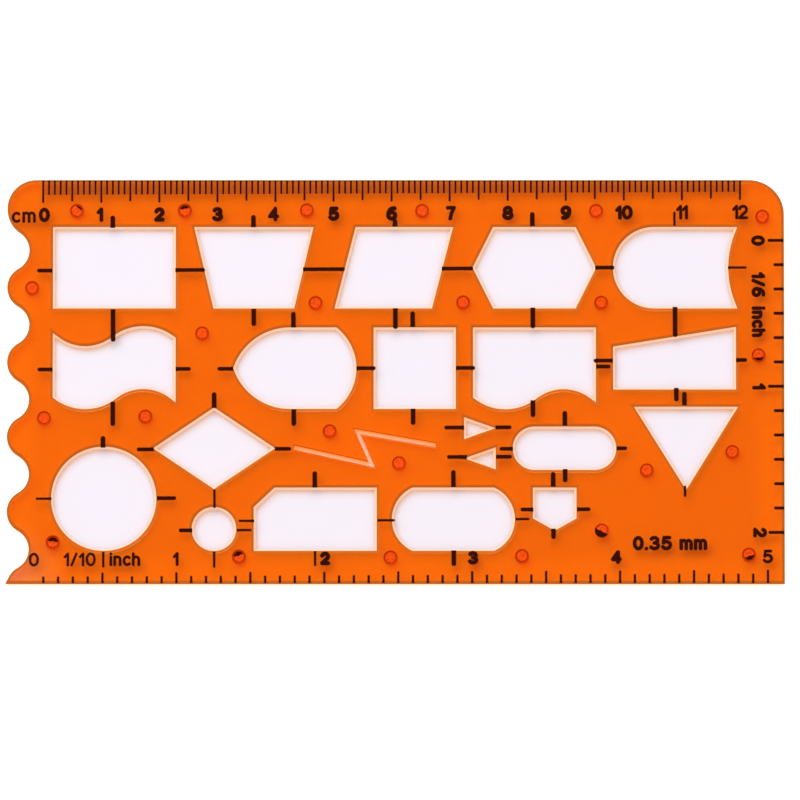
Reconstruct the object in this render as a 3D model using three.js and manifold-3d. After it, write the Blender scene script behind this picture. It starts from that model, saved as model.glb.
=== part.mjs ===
// Flowchart symbol stencil: a thin moulded sheet with drafted symbol cut-outs, a scalloped finger
// edge, stamped scales and centre marks, and small pressed-in spacer pips that hold its guiding
// edges clear of the paper.
// Lengths are in millimetres. X runs along the sheet, Y across it and Z up from the paper.
import * as THREE from "three";
import { mergeVertices } from "three/addons/utils/BufferGeometryUtils.js";
import Module from "manifold-3d";

const wasm = await Module();
wasm.setup();

// Sheet
const SHEET_THICKNESS = 1.2;
const RIGHT_CORNER_RADIUS = 6.0;
const LEFT_CORNER_RADIUS = 5.0;
const SCALLOP_PITCH = 13.0;
const SCALLOP_DEPTH = 3.8;

// Walls of the cut-outs: a narrow land that guides the pen, then a draft that widens upwards
const PEN_ALLOWANCE = 0.35;
const WALL_DRAFT = 0.4;
const GUIDE_LAND = 0.3;
const SLOT_DRAFT = 0.12;

// Margins and gaps, measured between the mouths of the cut-outs and the sheet's edges
const LEFT_MARGIN = 7.85;
const RIGHT_MARGIN = 8.3;
const COLUMN_GAP = 2.95;
const TOP_MARGIN = 8.15;
const ROW_GAP = 3.3;
const LOWER_ROW_GAP = 3.05;
const BOTTOM_MARGIN = 5.7;

// Sizes of the drawn symbols
const SYMBOL_WIDTH = 20.0;
const SYMBOL_HEIGHT = 13.05;
const CARD_HEIGHT = 9.85;
const PILL_WIDTH = 16.65;
const PILL_HEIGHT = 6.4;
const TRAPEZOID_TOP_WIDTH = 19.1;
const TRAPEZOID_BOTTOM_WIDTH = 13.0;
const PARALLELOGRAM_WIDTH = 15.6;
const PARALLELOGRAM_SKEW = 3.35;
const HEXAGON_POINT_DEPTH = 3.25;
const STORED_DATA_HOLLOW = 1.3;
const WAVE_RISE = 1.75;
const TAPE_HEIGHT = 9.8;
const DISPLAY_NOSE_RADIUS = 9.7;
const DISPLAY_BACK_RADIUS = 8.45;
const SQUARE_SIDE = 13.0;
const DOCUMENT_HEIGHT = 11.35;
const INPUT_LEFT_HEIGHT = 6.4;
const INPUT_RIGHT_HEIGHT = 9.65;
const CARD_CORNER_WIDTH = 3.25;
const CARD_CORNER_HEIGHT = 3.05;
const TERMINATOR_END_RADIUS = 5.45;
const CONNECTOR_DIAMETER = 16.95;
const SMALL_CONNECTOR_DIAMETER = 6.5;
const DIAMOND_WIDTH = 18.95;
const DIAMOND_HEIGHT = 12.8;
const PENTAGON_WIDTH = 6.35;
const PENTAGON_SIDE_HEIGHT = 4.45;
const PENTAGON_POINT_DEPTH = 1.8;
const MERGE_WIDTH = 15.85;
const MERGE_HEIGHT = 12.8;
const ARROW_LENGTH = 3.1;
const ARROW_WIDTH = 2.2;
const BOLT_SLOT_WIDTH = 0.1;
const BOLT_HALF_LENGTH = 11.9;
const BOLT_RISE = 5.78;
const BOLT_LEAN = 2.54;
const BOLT_LEFT_END_RISE = 0.05;
const BOLT_RIGHT_END_RISE = 0.57;

// Stamped marks: each lies in a shallow groove. The zeros are measured from the left and top edges
const MARK_DEPTH = 0.1;
const CENTIMETRE_TICK_WIDTH = 0.38;
const TENTH_TICK_WIDTH = 0.48;
const SIXTH_TICK_WIDTH = 0.6;
const BOLD_MARK_WIDTH = 0.8;
const FINE_MARK_WIDTH = 0.5;
const CENTRE_MARK_OVERLAP = 0.3;
const CENTIMETRE = 10;
const CENTIMETRE_ZERO = 6.15;
const CENTIMETRE_TICK = 3.75;
const HALF_CENTIMETRE_TICK = 3.5;
const MILLIMETRE_TICK = 2.35;
const INCH = 25.4;
const TENTHS_ZERO = 3.8;
const TENTHS_PER_HALF_INCH = 5;
const HALF_INCH_TICK = 1.75;
const TENTH_TICK = 1.2;
const SIXTHS_ZERO = 10.55;
const SIXTHS_PER_INCH = 6;
const WHOLE_INCH_TICK = 2.8;
const SIXTH_TICK = 1.8;

// Spacer pips
const PIP_FOOT_DIAMETER = 2.4;
const PIP_SOLE_DIAMETER = 1.8;
const PIP_FOOT_HEIGHT = 0.4;
const PIP_SHANK_DIAMETER = 1.85;
const PIP_HOLE_CLEARANCE = 0.05;
const PIP_TOP_RECESS = 0.05;
const PIP_SIDES = 12;

// Fineness of the arcs, and how far a cutter runs past each face of the sheet
const ARC_STEP = THREE.MathUtils.degToRad(15);
const CUTTER_OVERRUN = 0.5;

// Places that follow from the sizes
const MOUTH_GROWTH = PEN_ALLOWANCE + 2 * WALL_DRAFT;
const MOUTH_WIDTH = SYMBOL_WIDTH + MOUTH_GROWTH;
const MOUTH_HEIGHT = SYMBOL_HEIGHT + MOUTH_GROWTH;
const COLUMNS = 5;
const COLUMN_PITCH = MOUTH_WIDTH + COLUMN_GAP;
const SHEET_LENGTH = LEFT_MARGIN + COLUMNS * MOUTH_WIDTH + (COLUMNS - 1) * COLUMN_GAP + RIGHT_MARGIN;
const CARD_MOUTH = CARD_HEIGHT + MOUTH_GROWTH;
const PILL_MOUTH = PILL_HEIGHT + MOUTH_GROWTH;
const UPPER_FIELD = TOP_MARGIN + 2 * MOUTH_HEIGHT + ROW_GAP;
const LOWER_FIELD = 2 * LOWER_ROW_GAP + PILL_MOUTH + CARD_MOUTH + BOTTOM_MARGIN;
const SHEET_WIDTH = UPPER_FIELD + LOWER_FIELD;
const LEFT_EDGE = -SHEET_LENGTH / 2;
const RIGHT_EDGE = SHEET_LENGTH / 2;
const BOTTOM_EDGE = -SHEET_WIDTH / 2;
const TOP_EDGE = SHEET_WIDTH / 2;

const TOP_ROW = TOP_EDGE - TOP_MARGIN - MOUTH_HEIGHT / 2;
const SECOND_ROW = TOP_ROW - MOUTH_HEIGHT - ROW_GAP;
const CARD_ROW = BOTTOM_EDGE + BOTTOM_MARGIN + CARD_MOUTH / 2;
const PILL_ROW = CARD_ROW + CARD_MOUTH / 2 + LOWER_ROW_GAP + PILL_MOUTH / 2;

const columnCentre = (column) => LEFT_EDGE + LEFT_MARGIN + MOUTH_WIDTH / 2 + column * COLUMN_PITCH;
const gapCentre = (column) => columnCentre(column) + COLUMN_PITCH / 2;

// The square and the display stand in a chain to the left of the document
const SQUARE_MOUTH = SQUARE_SIDE + MOUTH_GROWTH;
const SQUARE_CENTRE = columnCentre(3) - MOUTH_WIDTH / 2 - COLUMN_GAP - SQUARE_MOUTH / 2;
const DISPLAY_CENTRE = SQUARE_CENTRE - SQUARE_MOUTH / 2 - COLUMN_GAP - MOUTH_WIDTH / 2;

// Each scale is as long as its edge allows, in whole units
const CENTIMETRES = Math.floor((SHEET_LENGTH - CENTIMETRE_ZERO) / CENTIMETRE);
const INCHES_ALONG = Math.floor((SHEET_LENGTH - TENTHS_ZERO) / INCH);
const INCHES_ACROSS = Math.floor((SHEET_WIDTH - SIXTHS_ZERO) / INCH);

const point = (x, y) => new THREE.Vector2(x, y);

// A place is given from the sheet's edges, or from the centre of a column, a gap or a row
function place({ x, left, right, gap, column = 0, across = 0, top, bottom, row = 0, up = 0 }) {
  let placedX = columnCentre(column) + across;
  if (x !== undefined) placedX = x + across;
  if (gap !== undefined) placedX = gapCentre(gap) + across;
  if (left !== undefined) placedX = LEFT_EDGE + left;
  if (right !== undefined) placedX = RIGHT_EDGE - right;
  let placedY = row + up;
  if (top !== undefined) placedY = TOP_EDGE - top;
  if (bottom !== undefined) placedY = BOTTOM_EDGE + bottom;
  return point(placedX, placedY);
}

// Points on an arc from one angle to another, both ends and the middle included
function arc(centreX, centreY, radius, from, to) {
  const steps = 2 * Math.max(1, Math.round(Math.abs(to - from) / ARC_STEP / 2));
  return Array.from({ length: steps + 1 }, (_, step) => {
    const angle = from + ((to - from) * step) / steps;
    return point(centreX + radius * Math.cos(angle), centreY + radius * Math.sin(angle));
  });
}

const halfChordAngle = (halfChord, radius) => Math.asin(Math.min(1, halfChord / radius));
const sagRadius = (halfChord, sag) => (halfChord ** 2 + sag ** 2) / (2 * sag);

// Symbol outlines, each counter-clockwise about its own centre
function rectangle(width, height) {
  const x = width / 2;
  const y = height / 2;
  return [point(-x, -y), point(x, -y), point(x, y), point(-x, y)];
}

function trapezoid(topWidth, bottomWidth, height) {
  const y = height / 2;
  return [
    point(-bottomWidth / 2, -y),
    point(bottomWidth / 2, -y),
    point(topWidth / 2, y),
    point(-topWidth / 2, y),
  ];
}

function parallelogram(width, height, skew) {
  return rectangle(width, height).map((corner) => point(corner.x + (skew * corner.y) / height, corner.y));
}

function hexagon(width, height, pointDepth) {
  const x = width / 2;
  const y = height / 2;
  const flat = x - pointDepth;
  return [point(-flat, -y), point(flat, -y), point(x, 0), point(flat, y), point(-flat, y), point(-x, 0)];
}

function storedData(width, height, hollow) {
  const y = height / 2;
  const radius = sagRadius(y, hollow);
  const swing = halfChordAngle(y, radius);
  const hollowCentre = width / 2 - hollow + radius;
  const right = arc(hollowCentre, 0, radius, Math.PI + swing, Math.PI - swing);
  const left = arc(-width / 2 + y, 0, y, Math.PI / 2, (3 * Math.PI) / 2);
  return [...right, ...left];
}

// A line that dips and then rises, made of two equal arcs, from left to right
function waveLine(width, level, rise) {
  const halfChord = width / 4;
  const radius = sagRadius(halfChord, rise);
  const swing = halfChordAngle(halfChord, radius);
  const down = -Math.PI / 2;
  const dip = arc(-halfChord, level - rise + radius, radius, down - swing, down + swing);
  const crest = arc(halfChord, level + rise - radius, radius, -down + swing, -down - swing);
  return [...dip, ...crest.slice(1)];
}

function tape(width, height, rise) {
  const lower = waveLine(width, -height / 2, rise);
  const upper = waveLine(width, height / 2, rise).reverse();
  return [...lower, ...upper];
}

function documentSheet(width, height, rise) {
  const lower = waveLine(width, -height / 2, rise);
  return [...lower, point(width / 2, height / 2), point(-width / 2, height / 2)];
}

// A pointed nose of two arcs on the left and one bulging arc on the right
function display(width, height) {
  const y = height / 2;
  const noseDrop = DISPLAY_NOSE_RADIUS - y;
  const noseAngle = Math.asin(noseDrop / DISPLAY_NOSE_RADIUS);
  const noseCentre = -width / 2 + DISPLAY_NOSE_RADIUS * Math.cos(noseAngle);
  const backSwing = halfChordAngle(y, DISPLAY_BACK_RADIUS);
  const back = arc(width / 2 - DISPLAY_BACK_RADIUS, 0, DISPLAY_BACK_RADIUS, -backSwing, backSwing);
  const upperNose = arc(noseCentre, -noseDrop, DISPLAY_NOSE_RADIUS, Math.PI / 2, Math.PI - noseAngle);
  const lowerNose = arc(noseCentre, noseDrop, DISPLAY_NOSE_RADIUS, Math.PI + noseAngle, 1.5 * Math.PI);
  return [...back, ...upperNose, ...lowerNose.slice(1)];
}

function manualInput(width, leftHeight, rightHeight) {
  const x = width / 2;
  const y = rightHeight / 2;
  return [point(-x, -y), point(x, -y), point(x, y), point(-x, leftHeight - y)];
}

function circle(diameter) {
  return arc(0, 0, diameter / 2, 0, 2 * Math.PI).slice(1);
}

function diamond(width, height) {
  return [point(0, -height / 2), point(width / 2, 0), point(0, height / 2), point(-width / 2, 0)];
}

function card(width, height, cornerWidth, cornerHeight) {
  const x = width / 2;
  const y = height / 2;
  return [point(-x, -y), point(x, -y), point(x, y), point(cornerWidth - x, y), point(-x, y - cornerHeight)];
}

// A bar with bulging ends: a half round when the end radius is half of its height
function terminator(width, height, endRadius) {
  const swing = halfChordAngle(height / 2, endRadius);
  const endX = width / 2 - endRadius;
  const right = arc(endX, 0, endRadius, -swing, swing);
  const left = arc(-endX, 0, endRadius, Math.PI - swing, Math.PI + swing);
  return [...right, ...left];
}

function pentagon(width, sideHeight, pointDepth) {
  const x = width / 2;
  const y = (sideHeight + pointDepth) / 2;
  return [point(0, -y), point(x, pointDepth - y), point(x, y), point(-x, y), point(-x, pointDepth - y)];
}

function triangleDown(width, height) {
  return [point(0, -height / 2), point(width / 2, height / 2), point(-width / 2, height / 2)];
}

function arrowhead(length, width, direction) {
  const x = (direction * length) / 2;
  const y = width / 2;
  const corners = [point(x, 0), point(-x, y), point(-x, -y)];
  return direction > 0 ? corners : corners.reverse();
}

// A slot of even width along a bent line, with mitred turns
function slotAlong(line, width) {
  const last = line.length - 1;
  const sideOffsets = line.map((_, index) => {
    const before = line[index].clone().sub(line[Math.max(index - 1, 0)]);
    const after = line[Math.min(index + 1, last)].clone().sub(line[index]);
    const incoming = (index === 0 ? after : before).normalize();
    const outgoing = (index === last ? incoming.clone() : after).normalize();
    const normalIn = point(-incoming.y, incoming.x);
    const normalOut = point(-outgoing.y, outgoing.x);
    return normalIn.clone().add(normalOut).multiplyScalar(width / 2 / (1 + normalIn.dot(normalOut)));
  });
  const leftSide = line.map((vertex, index) => vertex.clone().add(sideOffsets[index]));
  const rightSide = line.map((vertex, index) => vertex.clone().sub(sideOffsets[index]));
  return [...rightSide, ...leftSide.reverse()];
}

function lightningBolt() {
  const line = [
    point(-BOLT_HALF_LENGTH, BOLT_LEFT_END_RISE),
    point(BOLT_LEAN / 2, -BOLT_RISE / 2),
    point(-BOLT_LEAN / 2, BOLT_RISE / 2),
    point(BOLT_HALF_LENGTH, BOLT_RIGHT_END_RISE),
  ];
  return slotAlong(line, BOLT_SLOT_WIDTH);
}

// The outline moved outwards by a distance, with mitred corners
function grow(outline, distance) {
  const count = outline.length;
  return outline.map((corner, index) => {
    const before = outline[(index + count - 1) % count];
    const after = outline[(index + 1) % count];
    const incoming = corner.clone().sub(before).normalize();
    const outgoing = after.clone().sub(corner).normalize();
    const normalIn = point(incoming.y, -incoming.x);
    const normalOut = point(outgoing.y, -outgoing.x);
    const mitre = normalIn.add(normalOut);
    return corner.clone().addScaledVector(mitre, (2 * distance) / mitre.lengthSq());
  });
}

// Every cut-out with its drawn outline, its place, its wall, and the lengths of its centre marks.
// The level of the marks to the left and right is the cut-out's own centre unless it is given.
// The marks are bold except on the sides named as fine
function symbolCutouts() {
  const cardTop = CARD_HEIGHT / 2;
  const inputLift = (SYMBOL_HEIGHT - INPUT_RIGHT_HEIGHT) / 2;
  const documentLift = (SYMBOL_HEIGHT - DOCUMENT_HEIGHT) / 2;
  const pentagonLift = cardTop - (PENTAGON_SIDE_HEIGHT + PENTAGON_POINT_DEPTH) / 2;
  const arrowMarks = { left: 2.9, right: 2.9 };
  return [
    {
      outline: rectangle(SYMBOL_WIDTH, SYMBOL_HEIGHT),
      at: { column: 0, row: TOP_ROW },
      marks: { left: 2.6, right: 5.1, up: 2.1, down: 5.6 },
    },
    {
      outline: trapezoid(TRAPEZOID_TOP_WIDTH, TRAPEZOID_BOTTOM_WIDTH, SYMBOL_HEIGHT),
      at: { column: 1, across: -0.1, row: TOP_ROW },
      marks: { right: 7.2, up: 2.1, down: 3.0 },
    },
    {
      outline: parallelogram(PARALLELOGRAM_WIDTH, SYMBOL_HEIGHT, PARALLELOGRAM_SKEW),
      at: { column: 2, across: -0.1, row: TOP_ROW },
      marks: { right: 5.4, up: 1.3, down: 3.6 },
    },
    {
      outline: hexagon(SYMBOL_WIDTH, SYMBOL_HEIGHT, HEXAGON_POINT_DEPTH),
      at: { column: 3, row: TOP_ROW },
      marks: { right: 3.3, up: 2.4, down: 3.6 },
    },
    {
      outline: storedData(SYMBOL_WIDTH, SYMBOL_HEIGHT, STORED_DATA_HOLLOW),
      at: { column: 4, row: TOP_ROW },
      marks: { right: 3.2, up: 2.4, down: 5.2 },
      fine: ["right", "up"],
    },
    {
      outline: tape(SYMBOL_WIDTH, TAPE_HEIGHT, WAVE_RISE),
      at: { column: 0, row: SECOND_ROW, up: 0.1 },
      marks: { left: 2.6, right: 2.6, down: 4.2 },
    },
    {
      outline: display(SYMBOL_WIDTH, SYMBOL_HEIGHT),
      at: { x: DISPLAY_CENTRE, row: SECOND_ROW },
      marks: { left: 2.7, right: 3.3, up: 2.7, down: 2.9 },
    },
    {
      outline: rectangle(SQUARE_SIDE, SYMBOL_HEIGHT),
      at: { x: SQUARE_CENTRE, row: SECOND_ROW },
      marks: { right: 3.3, up: 2.7, down: 2.8 },
    },
    {
      outline: documentSheet(SYMBOL_WIDTH, DOCUMENT_HEIGHT, WAVE_RISE),
      at: { column: 3, row: SECOND_ROW, up: documentLift },
      marks: { right: 2.5, down: 2.9 },
      markLevel: -documentLift,
    },
    {
      outline: manualInput(SYMBOL_WIDTH, INPUT_LEFT_HEIGHT, INPUT_RIGHT_HEIGHT),
      at: { column: 4, row: SECOND_ROW, up: inputLift },
      marks: { left: 3.3, right: 1.9, down: 2.3 },
      markLevel: -0.5,
    },
    {
      outline: diamond(DIAMOND_WIDTH, DIAMOND_HEIGHT),
      at: { gap: 0, across: 5.15, row: PILL_ROW },
      marks: { left: 2.9, right: 2.8, up: 2.7, down: 3.2 },
      fine: ["down"],
    },
    { outline: lightningBolt(), at: { column: 2, across: -5.1, row: PILL_ROW }, draft: SLOT_DRAFT },
    {
      outline: arrowhead(ARROW_LENGTH, ARROW_WIDTH, 1),
      at: { gap: 2, across: 2.05, row: PILL_ROW, up: 3.5 },
      marks: arrowMarks,
    },
    {
      outline: arrowhead(ARROW_LENGTH, ARROW_WIDTH, -1),
      at: { gap: 2, across: 3.25, row: PILL_ROW, up: -1.75 },
      marks: arrowMarks,
    },
    {
      outline: terminator(PILL_WIDTH, PILL_HEIGHT, PILL_HEIGHT / 2),
      at: { column: 3, across: 5.15, row: PILL_ROW },
      marks: { left: 2.3, right: 1.8, up: 2.5, down: 2.3 },
    },
    {
      outline: triangleDown(MERGE_WIDTH, MERGE_HEIGHT),
      at: { column: 4, across: 1.95, row: PILL_ROW, up: 0.25 },
      marks: { up: 2.3, down: 1.2 },
    },
    {
      outline: circle(CONNECTOR_DIAMETER),
      at: { column: 0, across: -1.75, row: CARD_ROW, up: 3.55 },
      marks: { left: 2.7, right: 3.3, up: 2.0, down: 2.7 },
      fine: ["left", "down"],
    },
    {
      outline: circle(SMALL_CONNECTOR_DIAMETER),
      at: { gap: 0, across: 5.15, row: CARD_ROW, up: -1.7 },
      marks: { left: 2.3, right: 2.5, down: 2.8 },
      fine: ["right", "down"],
    },
    {
      outline: card(SYMBOL_WIDTH, CARD_HEIGHT, CARD_CORNER_WIDTH, CARD_CORNER_HEIGHT),
      at: { gap: 1, across: -1.55, row: CARD_ROW },
      marks: { left: 2.7, right: 3.0, up: 2.8, down: 2.6 },
      fine: ["left", "right", "down"],
    },
    {
      outline: terminator(SYMBOL_WIDTH, CARD_HEIGHT, TERMINATOR_END_RADIUS),
      at: { gap: 2, across: -1.9, row: CARD_ROW },
      marks: { right: 2.4, up: 2.9, down: 2.7 },
      fine: ["right"],
    },
    {
      outline: pentagon(PENTAGON_WIDTH, PENTAGON_SIDE_HEIGHT, PENTAGON_POINT_DEPTH),
      at: { column: 3, across: 3.45, row: CARD_ROW, up: pentagonLift },
      marks: { left: 2.2, right: 2.3, up: 2.5, down: 1.8 },
    },
  ];
}

// The pips stand in the bridges between the cut-outs and along the sheet's edges
function pipPlaces() {
  return [
    { column: 0, across: -6.45, top: 5.4 },
    { gap: 0, across: 0.1, top: 5.35 },
    { gap: 1, across: -3.0, top: 5.3 },
    { column: 2, across: 4.8, top: 5.4 },
    { gap: 3, across: -1.4, top: 5.4 },
    { right: 3.7, top: 6.4 },
    { left: 4.3, row: TOP_ROW, up: -3.6 },
    { gap: 1, across: -1.5, row: TOP_ROW, up: -6.2 },
    { gap: 2, across: -0.2, row: TOP_ROW, up: -6.1 },
    { gap: 3, across: -0.55, row: TOP_ROW, up: -6.15 },
    { gap: 0, across: 3.1, row: SECOND_ROW, up: 6.0 },
    { right: 4.4, row: SECOND_ROW, up: 2.2 },
    { left: 6.4, row: PILL_ROW, up: 5.2 },
    { column: 0, across: 5.4, row: PILL_ROW, up: 5.45 },
    { gap: 1, across: 0.95, row: PILL_ROW, up: 2.9 },
    { column: 2, across: 0.8, row: PILL_ROW, up: -2.65 },
    { column: 4, across: -4.8, row: PILL_ROW, up: -3.9 },
    { right: 8.95, row: PILL_ROW, up: -0.7 },
    { left: 7.95, bottom: 7.15 },
    { column: 1, across: -2.6, bottom: 4.65 },
    { column: 2, across: -0.65, bottom: 4.5 },
    { column: 3, across: -2.15, bottom: 4.75 },
    { gap: 3, across: -0.5, row: CARD_ROW, up: -2.0 },
    { right: 6.15, bottom: 5.0 },
  ].map(place);
}

// A closed geometry through rings of equal count, each an outline at its own height
function loft(rings) {
  const count = rings[0].outline.length;
  const positions = rings.flatMap(({ outline, z }) => outline.flatMap(({ x, y }) => [x, y, z]));
  const indices = [];
  for (let ring = 0; ring + 1 < rings.length; ring += 1) {
    for (let index = 0; index < count; index += 1) {
      const a = ring * count + index;
      const b = ring * count + ((index + 1) % count);
      indices.push(a, b, b + count, a, b + count, a + count);
    }
  }
  const topStart = (rings.length - 1) * count;
  for (const [a, b, c] of THREE.ShapeUtils.triangulateShape(rings[0].outline, [])) {
    indices.push(a, c, b);
  }
  for (const [a, b, c] of THREE.ShapeUtils.triangulateShape(rings.at(-1).outline, [])) {
    indices.push(topStart + a, topStart + b, topStart + c);
  }
  const geometry = new THREE.BufferGeometry();
  geometry.setAttribute("position", new THREE.Float32BufferAttribute(positions, 3));
  geometry.setIndex(indices);
  return geometry;
}

function solidOf(geometry) {
  const bare = geometry.clone();
  bare.deleteAttribute("normal");
  bare.deleteAttribute("uv");
  const merged = mergeVertices(bare);
  const vertProperties = Float32Array.from(merged.attributes.position.array);
  const triVerts = Uint32Array.from(merged.index.array);
  return new wasm.Manifold(new wasm.Mesh({ numProp: 3, vertProperties, triVerts }));
}

function geometryOf(solid) {
  const { vertProperties, triVerts } = solid.getMesh();
  const geometry = new THREE.BufferGeometry();
  geometry.setAttribute("position", new THREE.BufferAttribute(vertProperties, 3));
  geometry.setIndex(new THREE.BufferAttribute(triVerts, 1));
  geometry.computeVertexNormals();
  return geometry;
}

// The finger edge from the top corner down: tangent arcs that alternate between trough and crest,
// stopped where they meet the bottom edge
function scallopedEdge() {
  const radius = (SCALLOP_DEPTH ** 2 + (SCALLOP_PITCH / 2) ** 2) / (4 * SCALLOP_DEPTH);
  const swing = Math.asin(SCALLOP_PITCH / 4 / radius);
  const cornerX = LEFT_EDGE + LEFT_CORNER_RADIUS;
  const cornerY = TOP_EDGE - LEFT_CORNER_RADIUS;
  const troughX = LEFT_EDGE + SCALLOP_DEPTH - radius;
  const crestX = LEFT_EDGE + radius;
  const reach = LEFT_CORNER_RADIUS + radius;
  const firstTroughY = cornerY - Math.sqrt(reach ** 2 - (cornerX - troughX) ** 2);
  const cornerSwing = Math.atan2(cornerY - firstTroughY, cornerX - troughX);

  const edge = [
    ...arc(cornerX, cornerY, LEFT_CORNER_RADIUS, Math.PI / 2, Math.PI),
    ...arc(cornerX, cornerY, LEFT_CORNER_RADIUS, Math.PI, Math.PI + cornerSwing).slice(1),
  ];
  let troughY = firstTroughY;
  let entry = cornerSwing;
  while (edge.at(-1).y > BOTTOM_EDGE) {
    const crestY = troughY - SCALLOP_PITCH / 2;
    edge.push(...arc(troughX, troughY, radius, entry, -swing).slice(1));
    edge.push(...arc(crestX, crestY, radius, Math.PI - swing, Math.PI + swing).slice(1));
    troughY -= SCALLOP_PITCH;
    entry = swing;
  }
  const kept = edge.filter(({ y }) => y > BOTTOM_EDGE);
  const last = kept.at(-1);
  const next = edge[kept.length];
  const share = (last.y - BOTTOM_EDGE) / (last.y - next.y);
  return [...kept, point(THREE.MathUtils.lerp(last.x, next.x, share), BOTTOM_EDGE)];
}

function sheetBlank() {
  const cornerX = RIGHT_EDGE - RIGHT_CORNER_RADIUS;
  const cornerY = TOP_EDGE - RIGHT_CORNER_RADIUS;
  const rightCorner = arc(cornerX, cornerY, RIGHT_CORNER_RADIUS, 0, Math.PI / 2);
  const outline = new THREE.Shape([...scallopedEdge(), point(RIGHT_EDGE, BOTTOM_EDGE), ...rightCorner]);
  return new THREE.ExtrudeGeometry(outline, { depth: SHEET_THICKNESS, bevelEnabled: false });
}

function cutoutCutter({ outline, at, draft = WALL_DRAFT }) {
  const centre = place(at);
  const placed = outline.map((corner) => corner.clone().add(centre));
  const guide = grow(placed, PEN_ALLOWANCE / 2);
  const mouth = grow(placed, PEN_ALLOWANCE / 2 + draft);
  return loft([
    { outline: guide, z: -CUTTER_OVERRUN },
    { outline: guide, z: GUIDE_LAND },
    { outline: mouth, z: SHEET_THICKNESS },
    { outline: mouth, z: SHEET_THICKNESS + CUTTER_OVERRUN },
  ]);
}

function pipHoleCutter(centre) {
  const radius = PIP_SHANK_DIAMETER / 2 + PIP_HOLE_CLEARANCE;
  const length = SHEET_THICKNESS + 2 * CUTTER_OVERRUN;
  const hole = new THREE.CylinderGeometry(radius, radius, length, PIP_SIDES);
  hole.rotateX(Math.PI / 2);
  hole.translate(centre.x, centre.y, SHEET_THICKNESS / 2);
  return hole;
}

// A block that cuts one groove into the sheet's top face
function grooveCutter(centre, sizeX, sizeY) {
  const height = MARK_DEPTH + CUTTER_OVERRUN;
  const block = new THREE.BoxGeometry(sizeX, sizeY, height);
  block.translate(centre.x, centre.y, SHEET_THICKNESS - MARK_DEPTH + height / 2);
  return block;
}

// The three edge scales: centimetres along the top, tenths of an inch along the bottom, and sixths
// of an inch down the right
function scaleCutters() {
  const cutters = [];
  for (let millimetre = 0; millimetre <= CENTIMETRES * CENTIMETRE; millimetre += 1) {
    const onEdge = point(LEFT_EDGE + CENTIMETRE_ZERO + millimetre, TOP_EDGE);
    const tick = (length) => grooveCutter(onEdge, CENTIMETRE_TICK_WIDTH, 2 * length);
    if (millimetre % CENTIMETRE === 0) cutters.push(tick(CENTIMETRE_TICK));
    else if (millimetre % (CENTIMETRE / 2) === 0) cutters.push(tick(HALF_CENTIMETRE_TICK));
    else cutters.push(tick(MILLIMETRE_TICK));
  }
  const tenthPitch = INCH / 2 / TENTHS_PER_HALF_INCH;
  for (let tenth = 1; tenth <= 2 * INCHES_ALONG * TENTHS_PER_HALF_INCH; tenth += 1) {
    const onEdge = point(LEFT_EDGE + TENTHS_ZERO + tenth * tenthPitch, BOTTOM_EDGE);
    const length = tenth % TENTHS_PER_HALF_INCH === 0 ? HALF_INCH_TICK : TENTH_TICK;
    cutters.push(grooveCutter(onEdge, TENTH_TICK_WIDTH, 2 * length));
  }
  for (let sixth = 0; sixth <= INCHES_ACROSS * SIXTHS_PER_INCH; sixth += 1) {
    const onEdge = point(RIGHT_EDGE, TOP_EDGE - SIXTHS_ZERO - (sixth * INCH) / SIXTHS_PER_INCH);
    const length = sixth % SIXTHS_PER_INCH === 0 ? WHOLE_INCH_TICK : SIXTH_TICK;
    cutters.push(grooveCutter(onEdge, 2 * length, SIXTH_TICK_WIDTH));
  }
  return cutters;
}

// How far an outline reaches in one direction, measured on the line through its centre
function reachAlong(outline, direction) {
  const sideways = point(-direction.y, direction.x);
  const reaches = outline.map((corner, index) => {
    const next = outline[(index + 1) % outline.length];
    const from = corner.dot(sideways);
    const to = next.dot(sideways);
    if (from * to > 0 || from === to) return 0;
    return THREE.MathUtils.lerp(corner.dot(direction), next.dot(direction), from / (from - to));
  });
  return Math.max(...reaches);
}

// Centre marks start inside the mouth of their cut-out and run outwards along its centre lines
function centreMarkCutters({ outline, at, marks = {}, markLevel = 0, fine = [] }) {
  const directions = { left: point(-1, 0), right: point(1, 0), up: point(0, 1), down: point(0, -1) };
  const mouth = grow(outline, PEN_ALLOWANCE / 2 + WALL_DRAFT);
  return Object.entries(marks).map(([side, length]) => {
    const direction = directions[side];
    const level = point(0, markLevel * Math.abs(direction.x));
    const reach = reachAlong(mouth.map((corner) => corner.clone().sub(level)), direction);
    const distance = reach + (length - CENTRE_MARK_OVERLAP) / 2;
    const middle = place(at).add(level).addScaledVector(direction, distance);
    const size = length + CENTRE_MARK_OVERLAP;
    const width = fine.includes(side) ? FINE_MARK_WIDTH : BOLD_MARK_WIDTH;
    if (direction.x === 0) return grooveCutter(middle, width, size);
    return grooveCutter(middle, size, width);
  });
}

function templatePlate() {
  const cutouts = symbolCutouts();
  const cutters = [
    ...cutouts.map(cutoutCutter),
    ...pipPlaces().map(pipHoleCutter),
    ...scaleCutters(),
    ...cutouts.flatMap(centreMarkCutters),
  ];
  const removed = wasm.Manifold.union(cutters.map(solidOf));
  return geometryOf(solidOf(sheetBlank()).subtract(removed));
}

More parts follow.
